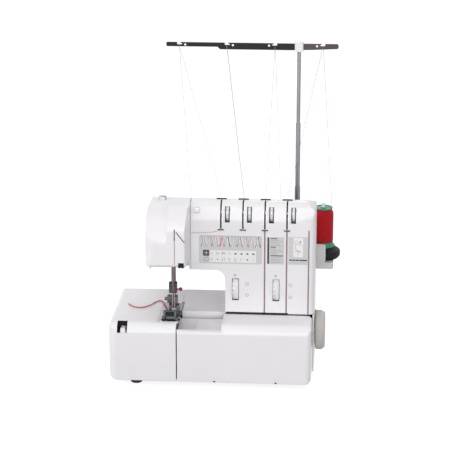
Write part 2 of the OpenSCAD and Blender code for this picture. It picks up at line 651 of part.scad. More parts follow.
// Needle bar and presser bar
bar_top_z = top_h - 26;
clamp_z0 = bed_h + 43.5;
clamp_z1 = clamp_z0 + 16;
needle_tip_z = plate_top + 7;
module needle_bar() color(steel_grey) place()
    rod_z(clamp_z0 + 12, bar_top_z, needle_x, needle_y, bar_d / 2);
module needle_clamp() color(dark_steel) place()
    difference() {
        along_z(clamp_z0, clamp_z1) outline([
            [needle_x - 7, needle_y - 6, 2.5], [needle_x + 6, needle_y - 6, 2.5],
            [needle_x + 6, needle_y + 6, 2.5], [needle_x - 7, needle_y + 6, 2.5]]);
        rod_z(clamp_z0 + 12, clamp_z1 + 1, needle_x, needle_y, bar_d / 2);
        for (x = [needle_x - 1.7, needle_x + 1.7])
            rod_z(clamp_z0 - 1, clamp_z0 + 10, x, needle_y, 1);
        rod_x(needle_x + 2, needle_x + 7, needle_y, clamp_z0 + 5, 1.2);
        block([needle_x - 8, needle_y - 7, clamp_z0 + 11], [needle_x + 7, needle_y - 4.6, clamp_z0 + 12.5]);
    }
module needles() color(steel_grey) place()
    for (x = [needle_x - 1.7, needle_x + 1.7])
        translate([x, needle_y, 0]) {
            translate([0, 0, clamp_z0 - 3]) cylinder(h = 13, r = 1, $fn = 24);
            translate([0, 0, clamp_z0 - 6]) cylinder(h = 3, r1 = 0.5, r2 = 1, $fn = 24);
            translate([0, 0, needle_tip_z + 4])
                cylinder(h = clamp_z0 - 6 - needle_tip_z - 4, r = 0.5, $fn = 24);
            translate([0, 0, needle_tip_z]) cylinder(h = 4, r1 = 0.1, r2 = 0.5, $fn = 24);
        }
module needle_clamp_knob() color(thread_red) place() {
    rod_x(needle_x + 3, needle_x + 9, needle_y, clamp_z0 + 5, 1.15);
    translate([needle_x + 11.5, needle_y, clamp_z0 + 5]) sphere(r = 3.2, $fn = 32);
}
spring_z0 = guide_z[0] + 14;
coils = 7;
coil_pitch = (guide_z[1] - spring_z0 - 0.5) / (coils - 0.15);
module presser_bar() color(steel_grey) place() {
    rod_z(bed_h + 24, bar_top_z + 4, presser_x, presser_y, bar_d / 2);
    rod_z(spring_z0 - 4, spring_z0, presser_x, presser_y, bar_d / 2 + 2.6);
}
module presser_spring() color(dark_steel) place()
    translate([presser_x, presser_y, spring_z0 + 0.2]) rotate_extrude($fn = 32)
        polygon(concat(
            [[bar_d / 2 + 0.5, 0]],
            [for (k = [0 : coils - 1]) each [
                [bar_d / 2 + 1.4, k * coil_pitch], [bar_d / 2 + 2.6, (k + 0.25) * coil_pitch],
                [bar_d / 2 + 2.6, (k + 0.6) * coil_pitch], [bar_d / 2 + 1.4, (k + 0.85) * coil_pitch]]],
            [[bar_d / 2 + 0.5, (coils - 0.15) * coil_pitch]]));
foot_y0 = front_y + 12;
foot_y1 = presser_y + 8;
foot_x0 = needle_x - 17;
foot_x1 = needle_x + 10.5;
module foot_holder() color(dark_steel) place()
    difference() {
        union() {
            along_z(bed_h + 20, bed_h + 31) outline([
                [presser_x - 11, presser_y - 6, 2], [presser_x + 6, presser_y - 6, 2],
                [presser_x + 6, presser_y + 6, 2], [presser_x - 11, presser_y + 6, 2]]);
            block([presser_x - 4, presser_y - 5, bed_h + 12], [presser_x + 4, presser_y + 5, bed_h + 21]);
            rod_x(presser_x - 15, presser_x - 10, presser_y, bed_h + 26, 2.6);
        }
        rod_z(bed_h + 24, bed_h + 32, presser_x, presser_y, bar_d / 2);
    }
module presser_foot() color(dark_steel) place()
    difference() {
        union() {
            along_x(foot_x0, foot_x1) outline([
                [foot_y0, plate_top + 5.5, 0.6], [foot_y0 + 5, plate_top, 3], [foot_y1, plate_top, 1],
                [foot_y1, plate_top + 3.4, 1], [foot_y0 + 20, plate_top + 3.8, 6],
                [foot_y0 + 9, plate_top + 7, 4], [foot_y0 + 1, plate_top + 8.5, 0.6]]);
            for (x = [presser_x - 8, presser_x + 4.4])
                along_x(x, x + 3.6) outline([
                    [presser_y - 9, plate_top + 3, 0], [presser_y - 5, bed_h + 18, 3],
                    [presser_y + 5, bed_h + 18, 3], [presser_y + 7, plate_top + 3, 0]]);
            rod_x(presser_x - 6, presser_x - 4.2, presser_y, bed_h + 14, 1.6);
        }
        block([needle_x - 4, needle_y - 5, plate_top - 1], [needle_x + 4, needle_y + 4, plate_top + 12]);
        block([knife_x - 0.6, foot_y0 - 1, plate_top - 1], [foot_x1 + 1, needle_y + 4, plate_top + 12]);
        block([needle_x - 12, foot_y0 - 1, plate_top - 1], [needle_x - 10.4, needle_y - 1, plate_top + 12]);
    }
module presser_lifter() color(black_plastic) place()
    difference() {
        along_x(presser_x - 3, presser_x + 3) outline([
            [lifter_y - 7, lifter_z - 5, 4], [lifter_y + 4, lifter_z - 6, 5],
            [back_y + 17, lifter_z - 6, 3], [back_y + 17, lifter_z + 1, 3],
            [back_y + 6, lifter_z, 6], [lifter_y + 4, lifter_z + 6, 5],
            [lifter_y - 7, lifter_z + 5, 4]]);
        rod_x(presser_x - 4, presser_x + 4, lifter_y, lifter_z, 2.5 + shaft_fit);
    }
module lamp() color([0.95, 0.93, 0.8]) place() {
    block([needle_x - 24, presser_y - 5, guide_z[0]], [needle_x - 12, presser_y + 5, guide_z[0] + 6]);
    rod_z(guide_z[0] - 3, guide_z[0] + 1, needle_x - 19, presser_y, 4);
}

// Tension units
module tension_dial(i) color(shell_white) place()
    difference() {
        tube_x(dial_x[i] - tension_w / 2, dial_x[i] + tension_w / 2, tension_y, tension_z,
            tension_r, post_r + shaft_fit);
        for (k = [0 : 23])
            translate([0, tension_y, tension_z]) rotate([15 * k, 0, 0])
                block([dial_x[i] - tension_w / 2 - 1, -0.6, tension_r - 0.5],
                    [dial_x[i] - tension_w / 2 + 1.4, 0.6, tension_r + 1]);
    }
module tension_dial_1() tension_dial(0);
module tension_dial_2() tension_dial(1);
module tension_dial_3() tension_dial(2);
module tension_dial_4() tension_dial(3);
module tension_discs() color(steel_grey) place() {
    for (i = [0 : 3]) {
        rod_x(slot_x[i] - 7, dial_x[i] + 9, tension_y, tension_z, post_r);
        for (s = [-1, 1])
            translate([slot_x[i] + s * 0.9, tension_y, tension_z]) rotate([0, 90 * s, 0])
                cylinder(h = 1.6, r1 = 8.5, r2 = 6.5, $fn = 48);
    }
    for (x = [length_x, differential_x])
        rod_x(x - dial_w / 2 - 5, x + dial_w / 2 + 5, stitch_y, stitch_z, post_r);
}
module stitch_dial(x) color(shell_white) place()
    difference() {
        tube_x(x - dial_w / 2, x + dial_w / 2, stitch_y, stitch_z, dial_r, post_r + shaft_fit);
        for (k = [0 : 35])
            translate([0, stitch_y, stitch_z]) rotate([10 * k, 0, 0])
                rod_x(x - 1, x + dial_w / 2 + 1, 0, dial_r + 0.3, 1);
    }
module stitch_length_dial() stitch_dial(length_x);
module differential_dial() stitch_dial(differential_x);

// Thread guides on the outside
module slot_thread_guides() color(black_plastic) place()
    for (x = slot_x) {
        rod_x(x - 8, x + 8, panel_y + 21.5, top_h + 1, 0.9);
        for (s = [-1, 1])
            rod_z(top_h, top_h + 1, x + s * 7, panel_y + 21.5, 0.9);
        rod_x(x - 4.5, x + 4.5, panel_y - 1.6, slot_foot_z - 1, 0.8);
        for (s = [-1, 1])
            rod_y(panel_y - 1.6, panel_y, x + s * 4, slot_foot_z - 1, 0.8);
    }
module head_thread_guides() color(shell_white) place() {
    along_z(top_h, top_h + 5)
        difference() {
            rect(head_x0 + 15, -66, head_x0 + 27, -56, 3);
            rect(head_x0 + 18, -63, head_x0 + 28, -59, 1.5);
        }
    difference() {
        along_x(head_x1 + 7, head_x1 + 14) outline([
            [panel_y + 7, top_h - 18, 0], [panel_y - 1, top_h - 18, 2], [panel_y - 1, top_h - 9, 1],
            [panel_y + 1, top_h - 9, 0], [panel_y + 1, top_h - 14, 0], [panel_y + 7, top_h - 14, 0]]);
        body_form(0);
    }
}

// Looper cover on its sliding hinge pin
door_slide = 8;
door_roll_y = panel_y - 2.5;
door_top_z = bed_h;
low_door_x1 = column_x - 2;
low_door_z = bed_h - 9;
scoop_x1 = parting_x + 32;
door_barrel_l = 12;
module hinge_pin() color(steel_grey) place()
    rod_x(lug_x[0] - 24, lug_x[1] + 24, hinge_y, hinge_z, hinge_pin_r);
module door_form(d)
    intersection() {
        along_x(door_x0, door_x1 - d) outline([
            [front_y + d, cover_z, 1], [front_y + d, door_top_z - d, 17 - d],
            [door_roll_y + 5, door_top_z - d, 0], [door_roll_y + 5, cover_z, 0]]);
        along_y(front_y - 1, door_roll_y) outline([
            [door_x0, cover_z, 1], [door_x1 - d, cover_z, 8],
            [door_x1 - d, door_top_z - d, 7 - d], [door_x0, door_top_z - d, 0]]);
        along_z(cover_z, door_top_z) outline([
            [door_x0, front_y + d, 2], [door_x1 - d, front_y + d, 9 - d],
            [door_x1 - d, door_roll_y, 0], [door_x0, door_roll_y, 0]]);
    }
// Concave top between the two cut edges of the cover
module scoop(x0, x1, sag) {
    half_w = (door_roll_y - front_y) / 2 - 1;
    r = (half_w * half_w + sag * sag) / (2 * sag);
    mid = (door_roll_y + front_y) / 2;
    along_x(x0, x1) intersection() {
        difference() {
            translate([mid, low_door_z - sag + r]) circle(r = r + wall, $fn = 180);
            translate([mid, low_door_z - sag + r]) circle(r = r, $fn = 180);
        }
        translate([mid - half_w - 0.6, low_door_z - sag - wall - 1])
            square([2 * half_w + 1, sag + wall + 1]);
    }
}
module looper_cover() color(shell_white) place()
    difference() {
        union() {
            difference() {
                door_form(0);
                door_form(wall);
                block([door_x0 - 1, front_y + wall, cover_z - 1],
                      [door_x1 - wall, door_roll_y + 1, cover_z + 10]);
                block([door_x0 - 1, front_y - 1, low_door_z], [low_door_x1, door_roll_y + 1, bed_h + 1]);
            }
            scoop(door_x0, scoop_x1, 6);
            scoop(scoop_x1 - wall, low_door_x1 + 1, 2);
            intersection() {
                door_form(0.2);
                block([low_door_x1, front_y, low_door_z - 14], [low_door_x1 + wall, door_roll_y, bed_h]);
            }
            for (x = lug_x) {
                for (s = [x - door_slide - 1 - door_barrel_l, x + lug_w + 1]) {
                    rod_x(s, s + door_barrel_l, hinge_y, hinge_z, barrel_r);
                    block([s, front_y + 1, hinge_z - 3], [s + door_barrel_l, hinge_y, hinge_z + barrel_r]);
                }
            }
        }
        rod_x(lug_x[0] - 30, lug_x[1] + 30, hinge_y, hinge_z, hinge_pin_r + shaft_fit);
        for (x = [lug_x[0] + 12, lug_x[1] + 7])
            block([x, front_y - 1, cover_z - 1], [x + 3.5, front_y + 4, cover_z + 2.6]);
    }

// Side cover with its press latch
latch_x0 = side_x0 + 14;
latch_w = 16;
latch_z0 = bed_h - 16;
latch_travel = 2.5;
module side_form(d)
    intersection() {
        along_x(side_x0 + d, side_x1) outline([
            [front_y + d, cover_z, 1], [front_y + d, bed_h - d, 17 - d],
            [side_back_y - d, bed_h - d, 8 - d], [side_back_y - d, cover_z, 1]]);
        along_y(front_y - 1, side_back_y + 1) outline([
            [side_x0 + d, cover_z + d, 12 - d], [side_x1 + 1, cover_z + d, 0],
            [side_x1 + 1, bed_h - d, 0], [side_x0 + d, bed_h - d, 8 - d]]);
        along_z(cover_z, bed_h) outline([
            [side_x0 + d, front_y + d, 12 - d], [side_x1 + 1, front_y + d, 0],
            [side_x1 + 1, side_back_y - d, 0], [side_x0 + d, side_back_y - d, 16 - d]]);
    }
module side_cover() color(shell_white) place()
    difference() {
        union() {
            difference() {
                side_form(0);
                side_form(wall);
                block([pan_x0 - 0.5, front_y + wall, cover_z - 1],
                      [side_x1 + 1, side_back_y - wall, cover_z + wall + 1]);
            }
            intersection() {
                side_form(0.3);
                block([latch_x0 - wall, front_y, latch_z0 - wall],
                      [latch_x0 + latch_w + wall, front_y + 19, bed_h]);
            }
        }
        block([latch_x0, front_y - 1, latch_z0], [latch_x0 + latch_w, front_y + 16, bed_h + 1]);
        block([plate_x0 - gap, plate_y0 - gap, bed_h - 10], [side_x1 + 1, plate_y1 + gap, bed_h + 1]);
    }
module cover_latch() color(shell_white) place()
    along_y(front_y + 3.5, front_y + 15.7) outline([
        [latch_x0 + 5, latch_z0, 0], [latch_x0 + latch_w - latch_travel - 0.6, latch_z0, 0],
        [latch_x0 + latch_w - latch_travel - 0.6, latch_z0 + 7, 2], [latch_x0 + 5, latch_z0 + 7, 2]]);

// Spool stand
mast_x = 121;
mast_y = tray_y0 + 40;
tray_t = 11;
tray_top = tray_z + tray_t;
socket_r = mast_d / 2 + 3;
module spool_tray() color([0.85, 0.84, 0.84]) place()
    difference() {
        union() {
            difference() {
                along_z(tray_z, tray_top) rect(tray_x0, tray_y0, tray_x1, tray_y1, 5);
                along_z(tray_z - 1, tray_top - wall)
                    rect(tray_x0 + wall, tray_y0 + wall, tray_x1 - wall, tray_y1 - wall, 3);
            }
            for (x = pin_x)
                rod_z(tray_z, tray_top, x, pin_y, 8);
            rod_z(tray_z - 6, tray_top, mast_x, mast_y, socket_r);
            for (x = [column_x + 12, column_x + 80])
                block([x, tray_y0, tray_z], [x + wall, tray_y1 - 1, tray_top]);
            along_y(tray_y0, tray_y0 + 4) rect(right_x - 20, tray_top - 1, right_x + 15, tray_top + 31, 4);
        }
        rod_z(tray_z - 3, tray_top + 1, mast_x, mast_y, mast_d / 2 + 0.1);
        for (x = pin_x)
            rod_z(tray_z + 2, tray_top + 1, x, pin_y, 3.1);
    }
pin_top = tray_top + cushion_t + spool_h + 14;
module spool_pins() color(shell_white) place()
    for (x = pin_x)
        translate([x, pin_y, tray_z + 2]) rotate_extrude($fn = 32)
            outline([[0, 0, 0], [3, 0, 0], [3, pin_top - tray_z - 4, 2], [0, pin_top - tray_z - 2, 0]]);
module spool_cushions() color(black_plastic) place()
    for (x = pin_x)
        translate([x, pin_y, tray_top]) rotate_extrude($fn = 64)
            outline([
                [3.2, 0, 0], [cushion_d / 2 - 3, 0, 1], [cushion_d / 2, 4, 3],
                [cushion_d / 2, cushion_t - 7, 4], [cushion_d / 2 - 10, cushion_t, 4], [3.2, cushion_t, 0]]);
core_r = 5;
spool_z = tray_top + cushion_t + 0.3;
module spool(i) color(thread_red) place()
    translate([pin_x[i], pin_y, spool_z]) {
        rotate_extrude($fn = 48)
            outline([
                [3.5, 0, 0], [spool_d / 2 + 1, 0, 0.8], [spool_d / 2 + 1, 2, 0.8], [core_r, 2.4, 0],
                [core_r, spool_h + 2, 0], [spool_d / 2 - 1.5, spool_h + 2.4, 0.8],
                [spool_d / 2 - 1.5, spool_h + 5, 1], [3.5, spool_h + 5, 0]]);
        rotate_extrude($fn = 48)
            outline([
                [core_r, 2.4, 0], [spool_d / 2, 2.4, 1.5], [spool_d / 2, spool_h - 6, 4],
                [spool_d / 2 - 4, spool_h + 2, 0.6], [core_r, spool_h + 2, 0]]);
    }
module spool_1() spool(0);
module spool_2() spool(1);
module spool_3() spool(2);
module spool_4() spool(3);
mid_d = mast_d - 1.6;
top_d = mid_d - 1.6;
mast_z1 = tray_z + mast_l1;
mast_z2 = mast_z1 + mast_l2;
module mast_lower() color(steel_grey) place()
    difference() {
        rod_z(tray_z - 3, mast_z1, mast_x, mast_y, mast_d / 2);
        rod_z(tray_z, mast_z1 + 1, mast_x, mast_y, mid_d / 2 + 0.15);
    }
module mast_mid() color(steel_grey) place()
    difference() {
        rod_z(mast_z1 - 24, mast_z2, mast_x, mast_y, mid_d / 2);
        rod_z(mast_z1 - 25, mast_z2 + 1, mast_x, mast_y, top_d / 2 + 0.15);
    }
module mast_top() color(steel_grey) place()
    rod_z(mast_z2 - 20, bar_z + 7, mast_x, mast_y, top_d / 2);

// Thread guide bar: a stamped plate with a hub at the mast
bar_x0 = mast_x + 64 - bar_l;
bar_x1 = mast_x + 64;
plate_front = mast_y - top_d / 2 - 1.8;
hook_x = [-74, 4, 81, 159];
hook_w = 7;
function hook_side(i) = i > 1 ? -1 : 1;
module guide_bar() color(black_plastic) place() {
    along_y(plate_front, plate_front + 1.5)
        difference() {
            outline([
                [bar_x0, bar_z - 2, 2], [-12, bar_z - 2, 0], [-8, bar_z - 6, 0], [108, bar_z - 6, 0],
                [bar_x1 - 40, bar_z - 5, 0], [bar_x1, bar_z - 3, 3], [bar_x1, bar_z + 5, 3],
                [bar_x0, bar_z + 5, 2]]);
            for (i = [0 : 3])
                translate([hook_x[i], bar_z]) mirror([1 - hook_side(i), 0])
                    outline([
                        [-hook_w / 2, 6, 0], [-hook_w / 2 - 1.5, 1.2, 1.6], [hook_w / 2, 1.2, 1.6],
                        [hook_w / 2 + 1, 3, 0.4], [hook_w / 2 - 1.5, 3, 0.4], [hook_w / 2 - 2.5, 6, 0]]);
            for (i = [0 : 3])
                translate([hook_x[i] + hook_side(i) * 9, bar_z + 1]) circle(r = 1.8, $fn = 24);
        }
    difference() {
        along_z(bar_z - 8, bar_z + 8) rect(mast_x - 7, plate_front - 2, mast_x + 7, mast_y + 7, 2);
        rod_z(bar_z - 9, bar_z + 7, mast_x, mast_y, top_d / 2);
    }
}

// Threads held taut by their guides: a round tube swept along hand-chosen points
function side_dir(t) = abs(t.z) > 0.9 ? [1, 0, 0] : [0, 0, 1];
function ring(p, t, r, n) =
    let (u = unit(cross(t, side_dir(t))), v = cross(t, u))
    [for (k = [0 : n - 1]) p + r * (u * cos(360 * k / n) + v * sin(360 * k / n))];
function tangent(pts, i) =
    unit((i < len(pts) - 1 ? pts[i + 1] : pts[i]) - (i > 0 ? pts[i - 1] : pts[i]));
module sweep(pts, r, n) {
    m = len(pts);
    points = [for (i = [0 : m - 1]) each ring(pts[i], tangent(pts, i), r, n)];
    sides = [for (i = [0 : m - 2], k = [0 : n - 1])
        [i * n + k, i * n + (k + 1) % n, (i + 1) * n + (k + 1) % n, (i + 1) * n + k]];
    polyhedron(points, concat([[for (k = [n - 1 : -1 : 0]) k]], sides,
        [[for (k = [0 : n - 1]) (m - 1) * n + k]]), convexity = 4);
}
thread_r = 0.35;
module supply_threads() color([0.9, 0.85, 0.85]) place()
    for (i = [0 : 3])
        sweep([
            [pin_x[i] + spool_d / 2 - 3, pin_y, spool_z + spool_h + 6],
            [hook_x[i] - hook_side(i), plate_front + 3, bar_z + 2],
            [hook_x[i] - hook_side(i), plate_front - 1.5, bar_z + 2],
            [slot_x[i], panel_y + 21.5, top_h + 2.4]], thread_r, 6);
module panel_threads() color(thread_pink) place() {
    for (x = [slot_x[2], slot_x[3]])
        sweep([[x, panel_y + 0.6, slot_foot_z - 3], [x, panel_y + 0.6, panel_z0]], 0.5, 6);
    sweep([[slot_x[0], panel_y - 2.9, slot_foot_z - 1],
           [head_x1 + 1, panel_y - 2.9, slot_foot_z - 4]], 0.4, 6);
}

// Chain of stitches that lies on the bed behind the presser foot
chain_r = 0.9;
chain_z = bed_h + chain_r + 0.4;
chain_points = [[-80, -74.5], [-82, -68], [-84, -60], [-86, -54], [-88, -47], [-91, -38],
                [-94, -30], [-97, -24], [-101, -25], [-105, -31], [-109, -40], [-114, -50],
                [-120, -57], [-127, -60], [-134, -59], [-140, -55], [-145, -49], [-149, -43]];
module thread_chain() color(thread_red) place()
    sweep([for (p = chain_points) [p.x, p.y, chain_z]], chain_r, 8);

base_pan();
rubber_feet();
body_screws();
frame_casting();
rear_housing();
front_panel();
head_cover();
thread_cutter();
needle_plate();
lower_knife();
upper_knife();
feed_dog();
upper_looper();
lower_looper();
main_shaft();
shaft_bushes();
handwheel();
belt_pulley();
drive_belt();
motor();
motor_pulley();
power_inlet();
power_switch();
needle_bar();
needle_clamp();
needles();
needle_clamp_knob();
presser_bar();
presser_spring();
foot_holder();
presser_foot();
presser_lifter();
lamp();
tension_dial_1();
tension_dial_2();
tension_dial_3();
tension_dial_4();
tension_discs();
stitch_length_dial();
differential_dial();
slot_thread_guides();
head_thread_guides();
hinge_pin();
looper_cover();
side_cover();
cover_latch();
spool_tray();
spool_pins();
spool_cushions();
mast_lower();
mast_mid();
mast_top();
guide_bar();
spool_1();
spool_2();
spool_3();
spool_4();
supply_threads();
panel_threads();
thread_chain();
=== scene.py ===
import json
import random
from math import cos, hypot, radians, sin, tau

import bmesh
import bpy
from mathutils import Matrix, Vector
from mathutils.bvhtree import BVHTree

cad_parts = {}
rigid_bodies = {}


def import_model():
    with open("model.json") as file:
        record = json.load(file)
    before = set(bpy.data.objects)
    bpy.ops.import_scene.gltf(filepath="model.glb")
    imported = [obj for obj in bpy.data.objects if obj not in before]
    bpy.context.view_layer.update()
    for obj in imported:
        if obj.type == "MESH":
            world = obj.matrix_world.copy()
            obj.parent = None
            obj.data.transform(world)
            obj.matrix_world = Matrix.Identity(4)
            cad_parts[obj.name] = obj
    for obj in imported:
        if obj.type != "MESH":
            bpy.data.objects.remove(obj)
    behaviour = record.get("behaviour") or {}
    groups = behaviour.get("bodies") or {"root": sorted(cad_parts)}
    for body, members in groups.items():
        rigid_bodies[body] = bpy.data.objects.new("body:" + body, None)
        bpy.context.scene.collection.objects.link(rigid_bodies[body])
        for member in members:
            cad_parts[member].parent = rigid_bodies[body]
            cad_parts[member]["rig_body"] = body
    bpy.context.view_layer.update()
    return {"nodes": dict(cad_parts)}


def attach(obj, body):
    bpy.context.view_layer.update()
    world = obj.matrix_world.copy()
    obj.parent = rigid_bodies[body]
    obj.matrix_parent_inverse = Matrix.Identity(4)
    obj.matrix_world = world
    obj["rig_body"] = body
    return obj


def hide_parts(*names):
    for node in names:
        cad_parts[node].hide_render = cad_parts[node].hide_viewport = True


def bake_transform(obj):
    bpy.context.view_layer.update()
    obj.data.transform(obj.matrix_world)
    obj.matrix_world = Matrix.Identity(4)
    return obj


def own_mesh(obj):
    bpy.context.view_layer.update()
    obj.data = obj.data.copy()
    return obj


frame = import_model()
scene = bpy.context.scene
datum = (-12.05, 5, 0)    # the machine's own zero point in the frame, in millimetres
print("stage: solids loaded")


# from the machine's own millimetres to the frame's metres
def at(x, y, z):
    return Vector((x + datum[0], y + datum[1], z + datum[2])) / 1000


def newObject(name, data):
    item = bpy.data.objects.new(name, data)
    scene.collection.objects.link(item)
    return item


cameraSet = {"azimuth": 4.25, "elevation": 16.6, "distance": 2.766, "target": (7.6, -20, 237),
             "lens": 136.64, "sensor": 36, "clip": (0.05, 60)}


# a long lens, above the machine and a little to its right
def makeCamera(settings):
    data = bpy.data.cameras.new("camera")
    camera = newObject("camera", data)
    azimuth, elevation = radians(settings["azimuth"]), radians(settings["elevation"])
    back = Vector((sin(azimuth) * cos(elevation), -cos(azimuth) * cos(elevation), sin(elevation)))
    camera.location = at(*settings["target"]) + back * settings["distance"]
    camera.rotation_euler = (-back).to_track_quat("-Z", "Y").to_euler()
    data.sensor_width = settings["sensor"]
    data.lens = settings["lens"]
    data.clip_start, data.clip_end = settings["clip"]
    scene.camera = camera


makeCamera(cameraSet)
scene.view_settings.view_transform = "Standard"


def addNode(tree, kind, inputs=None, **settings):
    node = tree.nodes.new(kind)
    for key, value in settings.items():
        setattr(node, key, value)
    for key, value in (inputs or {}).items():
        if isinstance(value, bpy.types.NodeSocket):
            tree.links.new(value, node.inputs[key])
        else:
            node.inputs[key].default_value = value
    return node


def tone(color, factor):
    return tuple(min(1, c * factor) for c in color[:3]) + (1,)


# what all finishes share
finishSet = {"coatRoughness": 0.15, "coarseDetail": 4.0, "fineDetail": 2.0, "tintRange": (0.3, 0.7),
             "wander": 0.06, "bump": 0.8, "edgeRange": (0.53, 0.62), "rubbedTone": 1.7}


# every finish has a coarse tint, a roughness that wanders and a fine surface grain
def makeFinish(name, color, roughness=0.4, metallic=0.0, grain=1800, depth=0.00002, tint=0.04,
               tintScale=18, stretch=(1, 1, 1), worn=0.0, coat=0.0, sheen=0.0, specular=0.5):
    material = bpy.data.materials.new(name)
    material.use_nodes = True
    tree = material.node_tree
    shader = tree.nodes["Principled BSDF"]
    shader.inputs["Metallic"].default_value = metallic
    shader.inputs["Coat Weight"].default_value = coat
    shader.inputs["Coat Roughness"].default_value = finishSet["coatRoughness"]
    shader.inputs["Sheen Weight"].default_value = sheen
    shader.inputs["Specular IOR Level"].default_value = specular
    place = addNode(tree, "ShaderNodeTexCoord")
    mapping = addNode(tree, "ShaderNodeMapping", {"Vector": place.outputs["Object"], "Scale": stretch})
    coarse = addNode(tree, "ShaderNodeTexNoise", {"Vector": mapping.outputs["Vector"], "Scale": tintScale,
                                                  "Detail": finishSet["coarseDetail"]})
    ramp = addNode(tree, "ShaderNodeValToRGB", {"Fac": coarse.outputs["Fac"]})
    tones = (tone(color, 1 - tint), tone(color, 1 + tint))
    for stop, position, shade in zip(ramp.color_ramp.elements, finishSet["tintRange"], tones):
        stop.position = position
        stop.color = shade
    base = ramp.outputs["Color"]
    if worn:
        edge = addNode(tree, "ShaderNodeNewGeometry")
        low, high = finishSet["edgeRange"]
        mask = addNode(tree, "ShaderNodeMapRange", {"Value": edge.outputs["Pointiness"], "From Min": low,
                                                    "From Max": high, "To Max": worn})
        rubbed = addNode(tree, "ShaderNodeMix", {"Factor": mask.outputs["Result"]}, data_type="RGBA")
        tree.links.new(base, rubbed.inputs["A"])
        rubbed.inputs["B"].default_value = tone(color, finishSet["rubbedTone"])
        base = rubbed.outputs["Result"]
    tree.links.new(base, shader.inputs["Base Color"])
    wander = finishSet["wander"]
    rough = addNode(tree, "ShaderNodeMapRange", {"Value": coarse.outputs["Fac"],
                                                 "To Min": roughness - wander,
                                                 "To Max": roughness + wander})
    tree.links.new(rough.outputs["Result"], shader.inputs["Roughness"])
    fine = addNode(tree, "ShaderNodeTexNoise", {"Vector": mapping.outputs["Vector"], "Scale": grain,
                                                "Detail": finishSet["fineDetail"]})
    bump = addNode(tree, "ShaderNodeBump", {"Height": fine.outputs["Fac"], "Distance": depth,
                                            "Strength": finishSet["bump"]})
    tree.links.new(bump.outputs["Normal"], shader.inputs["Normal"])
    return material


